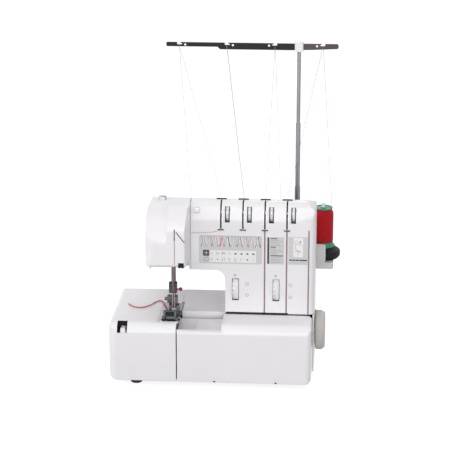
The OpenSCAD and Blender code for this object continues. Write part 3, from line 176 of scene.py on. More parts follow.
threadLook = dict(roughness=0.8, grain=3500, depth=0.00008, tintScale=150, stretch=(1, 1, 6), sheen=0.2,
                  specular=0.2)
inkLook = dict(roughness=0.5, depth=0.000005)
wornLook = dict(grain=1100, depth=0.00005, tint=0.3, tintScale=90, worn=0.5)
finishLooks = {
    "shell": dict(color=(0.805, 0.79, 0.812), roughness=0.34, grain=2600, depth=0.000012, tint=0.012,
                  coat=0.15),
    "pan": dict(color=(0.30, 0.31, 0.33), roughness=0.6, grain=1400, depth=0.00004, tint=0.08),
    "casting": dict(color=(0.48, 0.49, 0.51), roughness=0.55, metallic=0.9, grain=900, depth=0.00012,
                    tint=0.1),
    "steel": dict(color=(0.56, 0.56, 0.58), roughness=0.28, metallic=1.0, grain=1200, depth=0.00002,
                  tint=0.12, stretch=(1, 1, 0.12)),
    "plate": dict(color=(0.6, 0.6, 0.62), roughness=0.32, metallic=1.0, grain=1400, depth=0.00002,
                  tint=0.08, stretch=(1, 0.05, 1)),
    "darkSteel": dict(wornLook, color=(0.13, 0.13, 0.14), roughness=0.34, metallic=0.85),
    "barSteel": dict(color=(0.15, 0.12, 0.12), roughness=0.22, metallic=0.9, grain=1200, depth=0.00002,
                     tint=0.25, stretch=(1, 1, 0.1)),
    "footSteel": dict(wornLook, color=(0.055, 0.06, 0.065), roughness=0.36, metallic=0.6),
    "blackPlastic": dict(color=(0.010, 0.010, 0.012), roughness=0.6, grain=1800, depth=0.00003, tint=0.2,
                         worn=0.1, specular=0.18),
    "blackPaint": dict(color=(0.012, 0.013, 0.016), roughness=0.5, grain=1500, depth=0.00003, tint=0.25,
                       worn=0.2, specular=0.2),
    "brownPaint": dict(color=(0.085, 0.070, 0.066), roughness=0.5, grain=1500, depth=0.00003, tint=0.15,
                       specular=0.25),
    "rubber": dict(color=(0.02, 0.02, 0.02), roughness=0.75, grain=1200, depth=0.00008, tint=0.2),
    # painted shade: the darker grey of the tension dials' edges
    "dialEdgeShade": dict(color=(0.20, 0.20, 0.21), roughness=0.5, grain=1600, depth=0.00003, tint=0.06),
    # painted shade: a near black for thin sheets set in openings and gaps that are dark only from shade
    "pocket": dict(color=(0.012, 0.012, 0.013), roughness=0.7, grain=1400, depth=0.00005, tint=0.2,
                   specular=0.2),
    "wheel": dict(color=(0.535, 0.515, 0.49), roughness=0.42, grain=1600, depth=0.00003, tint=0.03),
    "bronze": dict(color=(0.5, 0.3, 0.12), roughness=0.45, metallic=1.0, grain=1500, depth=0.00006,
                   tint=0.12),
    "mast": dict(color=(0.25, 0.25, 0.265), roughness=0.26, metallic=1.0, grain=900, depth=0.00001,
                 tint=0.15, tintScale=60, stretch=(6, 6, 0.25)),
    "tray": dict(color=(0.64, 0.63, 0.63), roughness=0.42, grain=2000, depth=0.00002, tint=0.015),
    "lens": dict(color=(0.85, 0.8, 0.6), roughness=0.25, grain=700, depth=0.0001, tint=0.05),
    "redKnob": dict(color=(0.24, 0.005, 0.012), roughness=0.2, grain=1500, depth=0.00001, tint=0.05,
                    coat=0.5),
    "redThread": dict(threadLook, color=(0.46, 0.007, 0.012), depth=0.0001, tint=0.18, tintScale=120,
                      stretch=(1, 1, 7), sheen=0.15),
    "pinkThread": dict(threadLook, color=(0.72, 0.30, 0.29), tint=0.12),
    "mauveThread": dict(threadLook, color=(0.50, 0.27, 0.31), tint=0.12),
    "whiteThread": dict(threadLook, color=(0.78, 0.76, 0.74), tint=0.08),
    "greyThread": dict(threadLook, color=(0.45, 0.45, 0.47), tint=0.1),
    "greenCore": dict(color=(0.010, 0.25, 0.14), roughness=0.42, grain=1500, depth=0.00002, tint=0.1),
    "printDark": dict(inkLook, color=(0.045, 0.04, 0.045), tint=0.1),
    "printGrey": dict(inkLook, color=(0.42, 0.42, 0.43), tint=0.03),
    "printPale": dict(inkLook, color=(0.60, 0.60, 0.61), roughness=0.45, tint=0.015),
    "printWhite": dict(inkLook, color=(0.82, 0.82, 0.82), roughness=0.45, tint=0.01),
    "printOrange": dict(inkLook, color=(0.66, 0.14, 0.07), tint=0.05),
    "grooveShade": dict(inkLook, color=(0.30, 0.24, 0.25), roughness=0.6, tint=0.05),
    "printRose": dict(inkLook, color=(0.45, 0.13, 0.15), tint=0.05),
    "printOlive": dict(inkLook, color=(0.35, 0.30, 0.07), tint=0.05),
    "printBlue": dict(inkLook, color=(0.08, 0.13, 0.22), tint=0.05),
    "printRed": dict(inkLook, color=(0.50, 0.03, 0.03), tint=0.05),
}
finishes = {name: makeFinish(name, **look) for name, look in finishLooks.items()}
print("stage: finishes made")


# a piece rides on its body, and hides the solids that it replaces
def addObject(name, mesh, finish, body, replaced=(), smooth=30):
    piece = newObject(name, mesh)
    for item in [finish] if isinstance(finish, str) else finish:
        mesh.materials.append(finishes[item])
    if smooth:
        mesh.shade_smooth()
        mesh.set_sharp_from_angle(angle=radians(smooth))
    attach(piece, body)
    if replaced:
        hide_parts(*replaced)
    return piece


def bodyOf(node):
    return frame["nodes"][node]["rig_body"]


def meshFrom(bm, name):
    bmesh.ops.recalc_face_normals(bm, faces=bm.faces)
    mesh = bpy.data.meshes.new(name)
    bm.to_mesh(mesh)
    bm.free()
    return mesh


# the mesh of an object, with its modifiers or its text worked out
def finishedMesh(item):
    bpy.context.view_layer.update()
    graph = bpy.context.evaluated_depsgraph_get()
    return bpy.data.meshes.new_from_object(item.evaluated_get(graph))


def applyModifiers(piece):
    done = finishedMesh(piece)
    piece.modifiers.clear()
    piece.data = done


# faces between neighbouring rings of as many points each
def bridgeRings(bm, rings, material=0):
    for low, high in zip(rings, rings[1:]):
        n = len(low)
        for k in range(n):
            face = bm.faces.new((low[k], low[(k + 1) % n], high[(k + 1) % n], high[k]))
            face.material_index = material


# a closed form between two outlines of as many points each
def bridgeOutlines(bm, near, far, material=0):
    n = len(near)
    faces = [bm.faces.new(near), bm.faces.new(list(reversed(far)))]
    faces += [bm.faces.new((near[k], far[k], far[(k + 1) % n], near[(k + 1) % n])) for k in range(n)]
    for face in faces:
        face.material_index = material


# a closed form of one (y, z) outline from x0 to x1
def makePrism(bm, outline, x0, x1, material=0):
    near, far = ([bm.verts.new(at(x, y, z)) for y, z in outline] for x in (x0, x1))
    bridgeOutlines(bm, near, far, material)


# a closed form turned about an axis; the profile is (radius, height) pairs
def turnProfile(bm, profile, steps, centre, axis="z", radiusAt=None):
    x, y, z = centre
    rings = []
    for radius, height in profile:
        ring = []
        for k in range(steps):
            a = tau * k / steps
            r = radiusAt(radius, height, a) if radiusAt else radius
            u, v = r * cos(a), r * sin(a)
            spot = (x + u, y + v, z + height) if axis == "z" else (x + height, y + u, z + v)
            ring.append(bm.verts.new(at(*spot)))
        rings.append(ring)
    bridgeRings(bm, rings + rings[:1])


# a round thread along a route
def makeTube(bm, route, radius, sides=6, material=0):
    spots = [at(*p) for p in route]
    rings = []
    up = None
    for i, p in enumerate(spots):
        along = (spots[min(i + 1, len(spots) - 1)] - spots[max(i - 1, 0)]).normalized()
        if up is None:
            up = along.orthogonal().normalized()
        up = (up - along * up.dot(along)).normalized()
        side = along.cross(up)
        ring = []
        for k in range(sides):
            a = tau * k / sides
            ring.append(bm.verts.new(p + radius / 1000 * (up * cos(a) + side * sin(a))))
        rings.append(ring)
    bridgeRings(bm, rings, material)
    for end in (list(reversed(rings[0])), rings[-1]):
        bm.faces.new(end).material_index = material


# a smooth curve through the points, with a number of steps between each two
def smoothRoute(points, steps):
    out = []
    n = len(points)
    for i in range(n - 1):
        p0, p1, p2, p3 = (Vector(points[max(0, min(n - 1, i + d))]) for d in (-1, 0, 1, 2))
        for k in range(steps):
            t = k / steps
            out.append(tuple(0.5 * ((2 * p1) + (p2 - p0) * t + (2 * p0 - 5 * p1 + 4 * p2 - p3) * t ** 2
                                    + (3 * p1 - p0 - 3 * p2 + p3) * t ** 3)))
    out.append(tuple(points[-1]))
    return out


# the chain of stitches on the bed, strands wound about a route
chainSet = {"width": 1.8, "height": 106.3, "strands": 3, "strand": 0.36, "wind": 0.5, "pitch": 3.6,
            "step": 0.5, "ripple": 0.12, "ripples": 9}
chainRoute = [(-80, -74.5), (-82, -68), (-84, -60), (-86, -54), (-88, -47), (-91, -38),
              (-94, -30), (-97, -24), (-101, -25), (-105, -31), (-109, -40), (-114, -50),
              (-120, -57), (-127, -60), (-134, -59), (-140, -55), (-145, -49), (-149, -43)]


def makeChain(settings, route):
    middle = [Vector((x, y, settings["height"])) for x, y in route]
    gaps = [(b - a).length for a, b in zip(middle, middle[1:])]
    fine = []
    for a, b, gap in zip(middle, middle[1:], gaps):
        count = max(2, round(gap / settings["step"]))
        fine += [a.lerp(b, k / count) for k in range(count)]
    fine.append(middle[-1])
    travelled = [0.0]
    for a, b in zip(fine, fine[1:]):
        travelled.append(travelled[-1] + (b - a).length)
    bm = bmesh.new()
    for strand in range(settings["strands"]):
        path = []
        for i, spot in enumerate(fine):
            along = (fine[min(i + 1, len(fine) - 1)] - fine[max(i - 1, 0)]).normalized()
            side = Vector((-along.y, along.x, 0))
            turn = tau * (travelled[i] / settings["pitch"] + strand / settings["strands"])
            wide = settings["wind"] * (1.0 + settings["ripple"] * sin(settings["ripples"] * turn))
            path.append(spot + side * wide * cos(turn) + Vector((0, 0, wide * sin(turn))))
        makeTube(bm, path, settings["strand"])
    chain = addObject("chain_tail", meshFrom(bm, "chainTail"), "redThread", "root",
                      ["thread_chain"], smooth=60)


makeChain(chainSet, chainRoute)
print("stage: chain of stitches")


stageSet = {"floor": 20.0, "floorTone": 0.30, "floorGlow": 0.86, "world": 0.50}


# 1 for a ray from the camera, or one that reaches it by way of gloss or glass, and 0 for the rest
def makeSeen(tree):
    ray = addNode(tree, "ShaderNodeLightPath")
    seen = ray.outputs["Is Camera Ray"]
    for kind in ("Is Glossy Ray", "Is Transmission Ray"):
        either = addNode(tree, "ShaderNodeMath", {0: seen, 1: ray.outputs[kind]}, operation="MAXIMUM")
        seen = either.outputs[0]
    return seen


# a pale floor that keeps the machine's shadow
def makeFloor(settings):
    mesh = bpy.data.meshes.new("floor")
    half = settings["floor"]
    corners = [(-half, -half, 0), (half, -half, 0), (half, half, 0), (-half, half, 0)]
    mesh.from_pydata(corners, [], [(0, 1, 2, 3)])
    floor = newObject("floor", mesh)
    material = bpy.data.materials.new("floorSweep")
    material.use_nodes = True
    tree = material.node_tree
    tree.nodes.clear()
    power = addNode(tree, "ShaderNodeMath", {0: makeSeen(tree), 1: settings["floorGlow"]},
                    operation="MULTIPLY")
    glow = addNode(tree, "ShaderNodeEmission", {"Color": (1, 1, 1, 1), "Strength": power.outputs[0]})
    flat = addNode(tree, "ShaderNodeBsdfDiffuse", {"Color": (settings["floorTone"],) * 3 + (1,)})
    both = addNode(tree, "ShaderNodeAddShader", {0: glow.outputs[0], 1: flat.outputs[0]})
    addNode(tree, "ShaderNodeOutputMaterial", {"Surface": both.outputs[0]})
    mesh.materials.append(material)


# a white world that lights the machine less than it shows
def makeWorld(settings):
    world = bpy.data.worlds.new("studio")
    scene.world = world
    world.use_nodes = True
    tree = world.node_tree
    tree.nodes.clear()
    power = addNode(tree, "ShaderNodeMapRange", {"Value": makeSeen(tree), "To Min": settings["world"],
                                                 "To Max": 1.0})
    sky = addNode(tree, "ShaderNodeBackground", {"Color": (1, 1, 1, 1),
                                                 "Strength": power.outputs["Result"]})
    addNode(tree, "ShaderNodeOutputWorld", {"Surface": sky.outputs[0]})


lampAim = (0, 0, 0.2)    # lamps are placed in metres
lampSet = {"keyLamp": {"place": (-1.1, -1.6, 1.9), "size": 1.2, "power": 8},
           "frontLamp": {"place": (0.1, -2.6, 0.7), "size": 1.4, "power": 22.5},
           "fillLamp": {"place": (1.5, -1.8, 1.1), "size": 1.4, "power": 9.5},
           "leftLamp": {"place": (-2.2, -0.6, 1.0), "size": 1.4, "power": 22},
           "rearLamp": {"place": (0.6, 1.8, 1.6), "size": 1.4, "power": 15}}


def makeLamp(name, settings):
    data = bpy.data.lights.new(name, "AREA")
    data.energy, data.size = settings["power"], settings["size"]
    lamp = newObject(name, data)
    place = Vector(settings["place"])
    lamp.location = place
    lamp.rotation_euler = (Vector(lampAim) - place).to_track_quat("-Z", "Y").to_euler()


makeFloor(stageSet)
makeWorld(stageSet)
for name, settings in lampSet.items():
    makeLamp(name, settings)
print("stage: floor, world and lamps")


# solids that keep their shape: the finish, and the radius of the rounded edges
solidLooks = {
    "base_pan": ("pan", 0.5),
    "rubber_feet": ("rubber", 0.6),
    "body_screws": ("steel", 0.15),
    "frame_casting": ("casting", 0.5),
    "rear_housing": ("shell", 0.6),
    "front_panel": ("shell", 0.35),
    "head_cover": ("shell", 0.6),
    "thread_cutter": ("blackPlastic", 0.2),
    "needle_plate": ("plate", 0.2),
    "lower_knife": ("steel", 0.15),
    "upper_knife": ("darkSteel", 0.15),
    "feed_dog": ("darkSteel", 0.12),
    "upper_looper": ("steel", 0.2),
    "lower_looper": ("steel", 0.2),
    "main_shaft": ("steel", 0.3),
    "shaft_bushes": ("bronze", 0.2),
    "belt_pulley": ("blackPlastic", 0.4),
    "drive_belt": ("rubber", 0.2),
    "motor": ("darkSteel", 0.5),
    "motor_pulley": ("steel", 0.2),
    "power_inlet": ("blackPlastic", 0.3),
    "power_switch": ("blackPlastic", 0.3),
    "needle_bar": ("barSteel", 0.2),
    "needle_clamp": ("footSteel", 0.3),
    "needles": ("steel", 0),
    "needle_clamp_knob": ("redKnob", 0),
    "presser_bar": ("barSteel", 0.2),
    "foot_holder": ("darkSteel", 0.25),
    "presser_foot": ("footSteel", 0.2),
    "presser_lifter": ("blackPlastic", 0.5),
    "lamp": ("lens", 0.4),
    "tension_discs": ("steel", 0.15),
    "slot_thread_guides": ("blackPaint", 0),
    "head_thread_guides": ("steel", 0.25),
    "hinge_pin": ("steel", 0.2),
    "looper_cover": ("shell", 0.6),
    "side_cover": ("shell", 0.6),
    "cover_latch": ("shell", 0.3),
    "spool_tray": ("tray", 0.5),
    "spool_pins": ("shell", 0.3),
    "spool_cushions": ("blackPlastic", 0.3),
    "mast_lower": ("mast", 0.2),
    "mast_mid": ("mast", 0.2),
    "mast_top": ("mast", 0.2),
}
edgeSet = {"weld": 2e-6, "flat": 0.6, "angle": 32, "segments": 2, "smooth": 40, "weight": 90}


# a copy of a solid with its edges rounded over, where large faces keep their own direction
def softenSolid(node, finish, radius):
    bm = bmesh.new()
    bm.from_mesh(frame["nodes"][node].data)
    bmesh.ops.remove_doubles(bm, verts=bm.verts, dist=edgeSet["weld"])
    bmesh.ops.dissolve_limit(bm, angle_limit=radians(edgeSet["flat"]), verts=bm.verts, edges=bm.edges)
    piece = newObject(node + "_form", meshFrom(bm, node + "Form"))
    if radius:
        rounding = piece.modifiers.new("rounding", "BEVEL")
        rounding.width = radius / 1000
        rounding.segments = edgeSet["segments"]
        rounding.limit_method = "ANGLE"
        rounding.angle_limit = radians(edgeSet["angle"])
        rounding.use_clamp_overlap = True
        rounding.miter_outer = "MITER_ARC"
        applyModifiers(piece)
    mesh = piece.data
    mesh.materials.clear()
    mesh.materials.append(finishes[finish])
    mesh.shade_smooth()
    mesh.set_sharp_from_angle(angle=radians(edgeSet["smooth"]))
    weighted = piece.modifiers.new("weighted", "WEIGHTED_NORMAL")
    weighted.keep_sharp = True
    weighted.weight = edgeSet["weight"]
    applyModifiers(piece)
    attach(piece, bodyOf(node))
    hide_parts(node)
    return piece


for node, (finish, radius) in solidLooks.items():
    softenSolid(node, finish, radius)

barSet = {"mast": 121, "hub": 7.6, "edge": 0.2, "finishes": ("blackPaint", "shell", "brownPaint")}


# the bar's hub on the mast is pale, and its short end is brown
def makeGuideBar(settings):
    dark, pale, brown = settings["finishes"]
    piece = softenSolid("guide_bar", dark, settings["edge"])
    piece.data.materials.append(finishes[pale])
    piece.data.materials.append(finishes[brown])
    for face in piece.data.polygons:
        x = face.center.x * 1000 - datum[0] - settings["mast"]
        face.material_index = 1 if abs(x) < settings["hub"] else 2 if x > 0 else 0


makeGuideBar(barSet)

springSet = {"x": -69.5, "y": -84, "low": 220.2, "high": 240.7, "radius": 4.6, "wire": 0.62, "turns": 8,
             "closed": 0.9, "closedPitch": 1.3, "gap": 0.05, "lift": 6, "spare": 0.2, "turnSteps": 20,
             "sides": 8}


# a coil about the presser bar, with closed turns at both ends
def makePresserSpring(settings):
    x, y, wire, turns, closed = (settings[k] for k in ("x", "y", "wire", "turns", "closed"))
    low, high = settings["low"] + wire + settings["gap"], settings["high"] - wire - settings["gap"]
    endPitch = settings["closedPitch"] * wire
    steps = settings["turnSteps"] * turns
    route = []
    for k in range(steps + 1):
        turn = turns * k / steps
        opened = min(max((turn - closed) / (turns - 2 * closed), 0), 1)
        height = low + endPitch * (min(turn, closed) + max(turn - turns + closed, 0))
        height += (high - low - 2 * closed * endPitch) * opened
        route.append((x + settings["radius"] * cos(tau * turn),
                      y + settings["radius"] * sin(tau * turn), height))
    bm = bmesh.new()
    makeTube(bm, route, wire, settings["sides"])
    spring = addObject("presser_spring_coil", meshFrom(bm, "presserSpringCoil"), "darkSteel",
                       bodyOf("presser_spring"), ["presser_spring"], smooth=60)
    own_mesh(spring)


makePresserSpring(springSet)

pocketSet = {"left": -155.9, "right": -139.9, "front": -134.4, "rear": -119, "low": 89, "high": 104,
             "skin": 0.15, "latch": 4.8, "round": (-118, 88, 16.4), "angles": range(176, 92, -7)}


# dark walls painted as the shade inside the latch recess of the side cover, their fronts as rounded as the
# cover
def makePocketShade(settings):
    left, right, low, high, skin = (settings[k] for k in ("left", "right", "low", "high", "skin"))
    front, rear = settings["front"], settings["rear"]
    y, z, radius = settings["round"]
    wall = [(rear, low)]
    for a in settings["angles"]:
        wall.append((y + radius * cos(radians(a)), z + radius * sin(radians(a))))
    wall.append((rear, high))
    back = [(rear - skin, low), (rear, low), (rear, high), (rear - skin, high)]
    ledge = [(front, low), (rear, low), (rear, low + skin), (front, low + skin)]
    bm = bmesh.new()
    makePrism(bm, wall, left, left + skin)
    makePrism(bm, wall, right - skin, right)
    makePrism(bm, back, left, right)
    makePrism(bm, ledge, left, left + settings["latch"])
    addObject("latch_pocket_shade", meshFrom(bm, "latchPocketShade"), "pocket", bodyOf("side_cover"),
              smooth=0)


makePocketShade(pocketSet)

# two corners of each box
stripSet = {
    "head_slot_backing": {"node": "head_cover", "finish": "shell",
                          "boxes": [((-63.85, -134.1, 203), (-62.15, -133.9, 244))]},
    # painted shade: dark sheets set just inside the two notches
    "cover_notch_shade": {"node": "looper_cover", "finish": "pocket",
                      "boxes": [((-2.9, -134.4, 9.1), (0.4, -134.2, 11.4)),
                                ((95.1, -134.4, 9.1), (98.4, -134.2, 11.4))]},
}


# thin strips: a pale backing in the head's slot, and dark sheets painted as the shade in the notches of the
# looper cover
def makeStrip(name, settings):
    bm = bmesh.new()
    for low, high in settings["boxes"]:
        for v in bmesh.ops.create_cube(bm, size=1)["verts"]:
            v.co = at(*(high[k] if v.co[k] > 0 else low[k] for k in range(3)))
    node = settings["node"]
    addObject(name, meshFrom(bm, name), settings["finish"], bodyOf(node), smooth=0)


for name, settings in stripSet.items():
    makeStrip(name, settings)

toeSet = {"frame": (-83.5, -63.2), "mouth": (-80.2, -65.6), "edge": 0.35,
          "outline": ((-119.5, 113.2), (-117.4, 121.3), (-116.4, 121.6), (-110.4, 120.6), (-109.6, 119.8),
                      (-109.2, 110.7), (-114, 112.1)),
          "shade": ((-119.32, 113.9), (-117.62, 120.5), (-117.72, 120.5), (-119.42, 113.9))}


# the tape guide on the foot's toe, with a dark sheet in its mouth painted as the shade of the opening
def makeToeGuide(settings):
    bm = bmesh.new()
    makePrism(bm, settings["outline"], *settings["frame"])
    bmesh.ops.bevel(bm, geom=bm.edges[:], offset=settings["edge"] / 1000, segments=2, affect="EDGES",
                    clamp_overlap=True)
    makePrism(bm, settings["shade"], *settings["mouth"], material=1)
    addObject("foot_tape_guide", meshFrom(bm, "footTapeGuide"), ["footSteel", "pocket"],
              bodyOf("presser_foot"), smooth=35)


makeToeGuide(toeSet)
print("stage: solids rounded")


spoolSet = {"pins": (-70, 20, 80, 165), "pinY": 80, "base": 175.3, "bore": 3.5, "core": 5, "foot": 19.8,
            "skirt": 7.5, "radius": 17, "height": 62, "coreSteps": 48, "threadSteps": 56, "pitch": 0.85,
            "ridge": 0.13, "lowRound": (1.6, 1.2), "topRound": (8, 4),
            "threads": ("whiteThread", "greyThread", "pinkThread", "redThread")}


def spoolCentre(number):
    return spoolSet["pins"][number], spoolSet["pinY"], spoolSet["base"]


# the green core, with a flared foot below the thread and a flange above it
def makeSpoolCore(number, settings):
    foot, skirt, core, bore = (settings[k] for k in ("foot", "skirt", "core", "bore"))
    radius, height = settings["radius"], settings["height"]
    profile = [(bore, 0), (foot - 0.6, 0), (foot - 0.1, 0.3), (foot, 1), (foot - 0.2, 1.9), (foot - 1.6, 3),
               (radius + 0.2, skirt - 2.4), (radius - 0.6, skirt), (core, skirt + 0.2), (core, height + 2),
               (radius - 4, height + 2.3), (radius - 2.2, height + 2.5), (radius - 1.6, height + 3.2),
               (radius - 1.6, height + 4.3), (radius - 2.2, height + 5), (radius - 4.2, height + 5),
               (radius - 5.2, height + 4), (5.4, height + 3.6), (4.8, height + 5), (bore, height + 5)]
    bm = bmesh.new()
    turnProfile(bm, profile, settings["coreSteps"], spoolCentre(number))
    addObject(f"spool_core_{number + 1}", meshFrom(bm, "spoolCore"), "greenCore", f"spool_{number + 1}",
              smooth=35)


# crossed layers of thread, drawn in at both ends
def makeWinding(number, settings):
    radius, core, pitch = settings["radius"], settings["core"], settings["pitch"]
    low, high = settings["skirt"] + 0.3, settings["height"] + 1.9
    lowTall, lowIn = settings["lowRound"]
    topTall, topIn = settings["topRound"]
    rows = [(core + 0.05, low)]
    count = round((high - low) / (pitch / 3))
    for i in range(count + 1):
        h = low + (high - low) * i / count
        fromLow, fromHigh = min((h - low) / lowTall, 1), min((high - h) / topTall, 1)
        rows.append((radius - lowIn * (1 - fromLow) ** 2 - topIn * (1 - fromHigh) ** 2, h))
    rows.append((core + 0.05, high))

    def wound(r, h, a):
        if r < core + 1:
            return r
        turns = h / pitch
        return r - settings["ridge"] * (1 + 0.6 * sin(tau * turns + a)
                                        + 0.4 * sin(tau * turns * 0.37 - 3 * a))

    bm = bmesh.new()
    turnProfile(bm, rows, settings["threadSteps"], spoolCentre(number), radiusAt=wound)
    addObject(f"spool_winding_{number + 1}", meshFrom(bm, "spoolWinding"), settings["threads"][number],
              f"spool_{number + 1}", [f"spool_{number + 1}"], smooth=70)


for number in range(len(spoolSet["pins"])):
    makeSpoolCore(number, spoolSet)
    makeWinding(number, spoolSet)
print("stage: spools")


# fine grips round a rim, between two heights and outside a radius
def gripRadius(grips, bite, low, high, inside):
    def radiusAt(r, h, a):
        if r < inside or h < low or h > high:
            return r
        return r - bite * abs(sin(grips * a / 2)) ** 0.7
    return radiusAt


wheelSet = {"centre": (155, -38, 68), "radius": 32, "thick": 16, "bore": 5, "grips": 72, "bite": 0.55}


def makeWheel(settings):
    r, t, bore = settings["radius"], settings["thick"], settings["bore"]
    profile = [(bore, 1.5), (r - 3.6, 1.5), (r - 2.2, 2), (r - 1.6, 2.8), (r - 0.2, 3.3), (r, 4), (r, 7),
               (r, t - 5), (r - 0.3, t - 3.6), (r - 1.4, t - 2), (r - 3.2, t + 0.6), (r - 4.2, t + 1.3),
               (r - 7.4, t + 1.4), (r - 8.3, t + 1.1), (r - 9.2, t - 0.4), (r - 10.2, t - 1.3),
               (r - 13, t - 1.5), (12, t - 1.2), (11, t - 0.4), (bore, t - 0.3)]
    bm = bmesh.new()
    turnProfile(bm, profile, settings["grips"] * 4, settings["centre"], "x",
                gripRadius(settings["grips"], settings["bite"], 3.1, t - 3, r - 1))
    addObject("handwheel_grip", meshFrom(bm, "handwheelGrip"), "wheel", "drive_shaft",
              ["handwheel"], smooth=35)


makeWheel(wheelSet)

stitchDialSet = {"xs": {"stitch_length_dial": 28.5, "differential_dial": 93.5}, "y": -59, "z": 146,
                 "radius": 22, "wide": 9.6, "bore": 2.55, "grips": 44, "bite": 0.7}


# one half of the rim is milled and the other carries the numbers
def makeStitchDial(node, settings):
    r, w, bore = settings["radius"], settings["wide"] / 2, settings["bore"]
    profile = [(bore, -w), (r - 3, -w), (r - 2.4, -w + 0.2), (r - 0.5, -w + 0.3), (r, -w + 0.8), (r, -0.9),
               (r - 0.9, -0.8), (r - 0.9, -0.2), (r, -0.1), (r, w - 1), (r - 0.6, w - 0.3), (r - 3, w),
               (bore, w)]
    bm = bmesh.new()
    turnProfile(bm, profile, settings["grips"] * 4, (settings["xs"][node], settings["y"], settings["z"]),
                "x", gripRadius(settings["grips"], settings["bite"], -0.15, w, r - 0.7))
    addObject(node + "_grip", meshFrom(bm, node + "Grip"), "shell", bodyOf(node), [node],
              smooth=35)


for node in stitchDialSet["xs"]:
    makeStitchDial(node, stitchDialSet)

tensionDialSet = {"xs": (15.3, 50.3, 85.3, 120.3), "y": -58.5, "z": 270, "radius": 14.5, "wide": 6.4,
                  "band": 3.6, "bore": 2.55, "grips": 40, "bite": 0.5}


# a pale band for the numbers between two edges painted darker as shade, the left one milled
def makeTensionDial(number, settings):
    r, w, b, bore = settings["radius"], settings["wide"] / 2, settings["band"] / 2, settings["bore"]
    centre = (settings["xs"][number], settings["y"], settings["z"])
    profile = [(bore, -w), (r - 2.2, -w), (r - 1.5, -w + 0.15), (r - 1.2, -w + 0.6), (r - 0.8, -b - 0.3),
               (r, -b), (r, b), (r - 0.8, b + 0.3), (r - 1.2, w - 0.6), (r - 1.5, w - 0.15), (r - 2.2, w),
               (bore, w)]
    bm = bmesh.new()
    turnProfile(bm, profile, settings["grips"] * 4, centre, "x",
                gripRadius(settings["grips"], settings["bite"], -w, -b - 0.2, r - 1.6))
    # the edge faces get a darker grey: painted shade of the side gaps in the window
    for face in bm.faces:
        middle = (face.calc_center_median() - at(*centre)) * 1000
        if abs(middle.x) > b + 0.1 and hypot(middle.y, middle.z) > r - 2.6:
            face.material_index = 1
    body = f"tension_dial_{number + 1}"
    addObject(f"tension_dial_grip_{number + 1}", meshFrom(bm, "tensionDialGrip"), ["shell", "dialEdgeShade"],
              body, [body], smooth=35)


for number in range(len(tensionDialSet["xs"])):
    makeTensionDial(number, tensionDialSet)
print("stage: wheel and dials")


printSet = {"thick": 0.16, "layer": 0.05, "holeY": -75.0, "roundSteps": 20, "cornerSteps": 4}


# prints on the front panel, and strips of painted shade in its grooves and gaps: thin closed shapes that
# follow its surface, a higher level on a lower one
class PanelPainter:
    def __init__(self, inks, lift=0.10):
        self.inks, self.lift = inks, lift
        self.bm = bmesh.new()
        panel = bmesh.new()
        panel.from_mesh(frame["nodes"]["front_panel"].data)
        self.panel = BVHTree.FromBMesh(panel)
        panel.free()

    def depth(self, x, z):
        spot = self.panel.ray_cast(at(x, -300, z), Vector((0, 1, 0)))[0]
        return printSet["holeY"] if spot is None else spot.y * 1000 - datum[1]

    # an outline of (x, z) points
    def shape(self, outline, ink, level=0):
        rise = self.lift + printSet["layer"] * level
        spots = [(x, self.depth(x, z) - rise, z) for x, z in outline]
        front = [self.bm.verts.new(at(x, y, z)) for x, y, z in spots]
        rear = [self.bm.verts.new(at(x, y + printSet["thick"], z)) for x, y, z in spots]
        bridgeOutlines(self.bm, front, rear, ink)

    def line(self, points, width, ink, level=1):
        for a, b in zip(points, points[1:]):
            a, b = Vector(a), Vector(b)
            side = (b - a).normalized().orthogonal() * width / 2
            self.shape([tuple(p) for p in (a + side, a - side, b - side, b + side)], ink, level)

    def ring(self, x, z, radius, width, ink, level=1):
        steps = printSet["roundSteps"]
        turns = [tau * k / steps for k in range(steps + 1)]
        self.line([(x + radius * cos(a), z + radius * sin(a)) for a in turns], width, ink, level)

    # a rectangle with rounded corners
    def card(self, x0, z0, x1, z1, radius, ink, level=0):
        steps = printSet["cornerSteps"]
        points = []
        for x, z, start in ((x1 - radius, z1 - radius, 0), (x0 + radius, z1 - radius, 90),
                            (x0 + radius, z0 + radius, 180), (x1 - radius, z0 + radius, 270)):
            for k in range(steps + 1):
                a = radians(start + 90 * k / steps)
                points.append((x + radius * cos(a), z + radius * sin(a)))
        self.shape(points, ink, level)

    def done(self, name):
        addObject(name, meshFrom(self.bm, name), self.inks, "root", smooth=0)


stitchChartSet = {"left": -29.8, "right": 70.8, "low": 188.9, "high": 235.9, "corner": 3, "margin": 4.6,
                  "motif": 9.6, "tall": 17, "table": (-13.1, 191.3, 61.2, 211.3), "columns": 8}


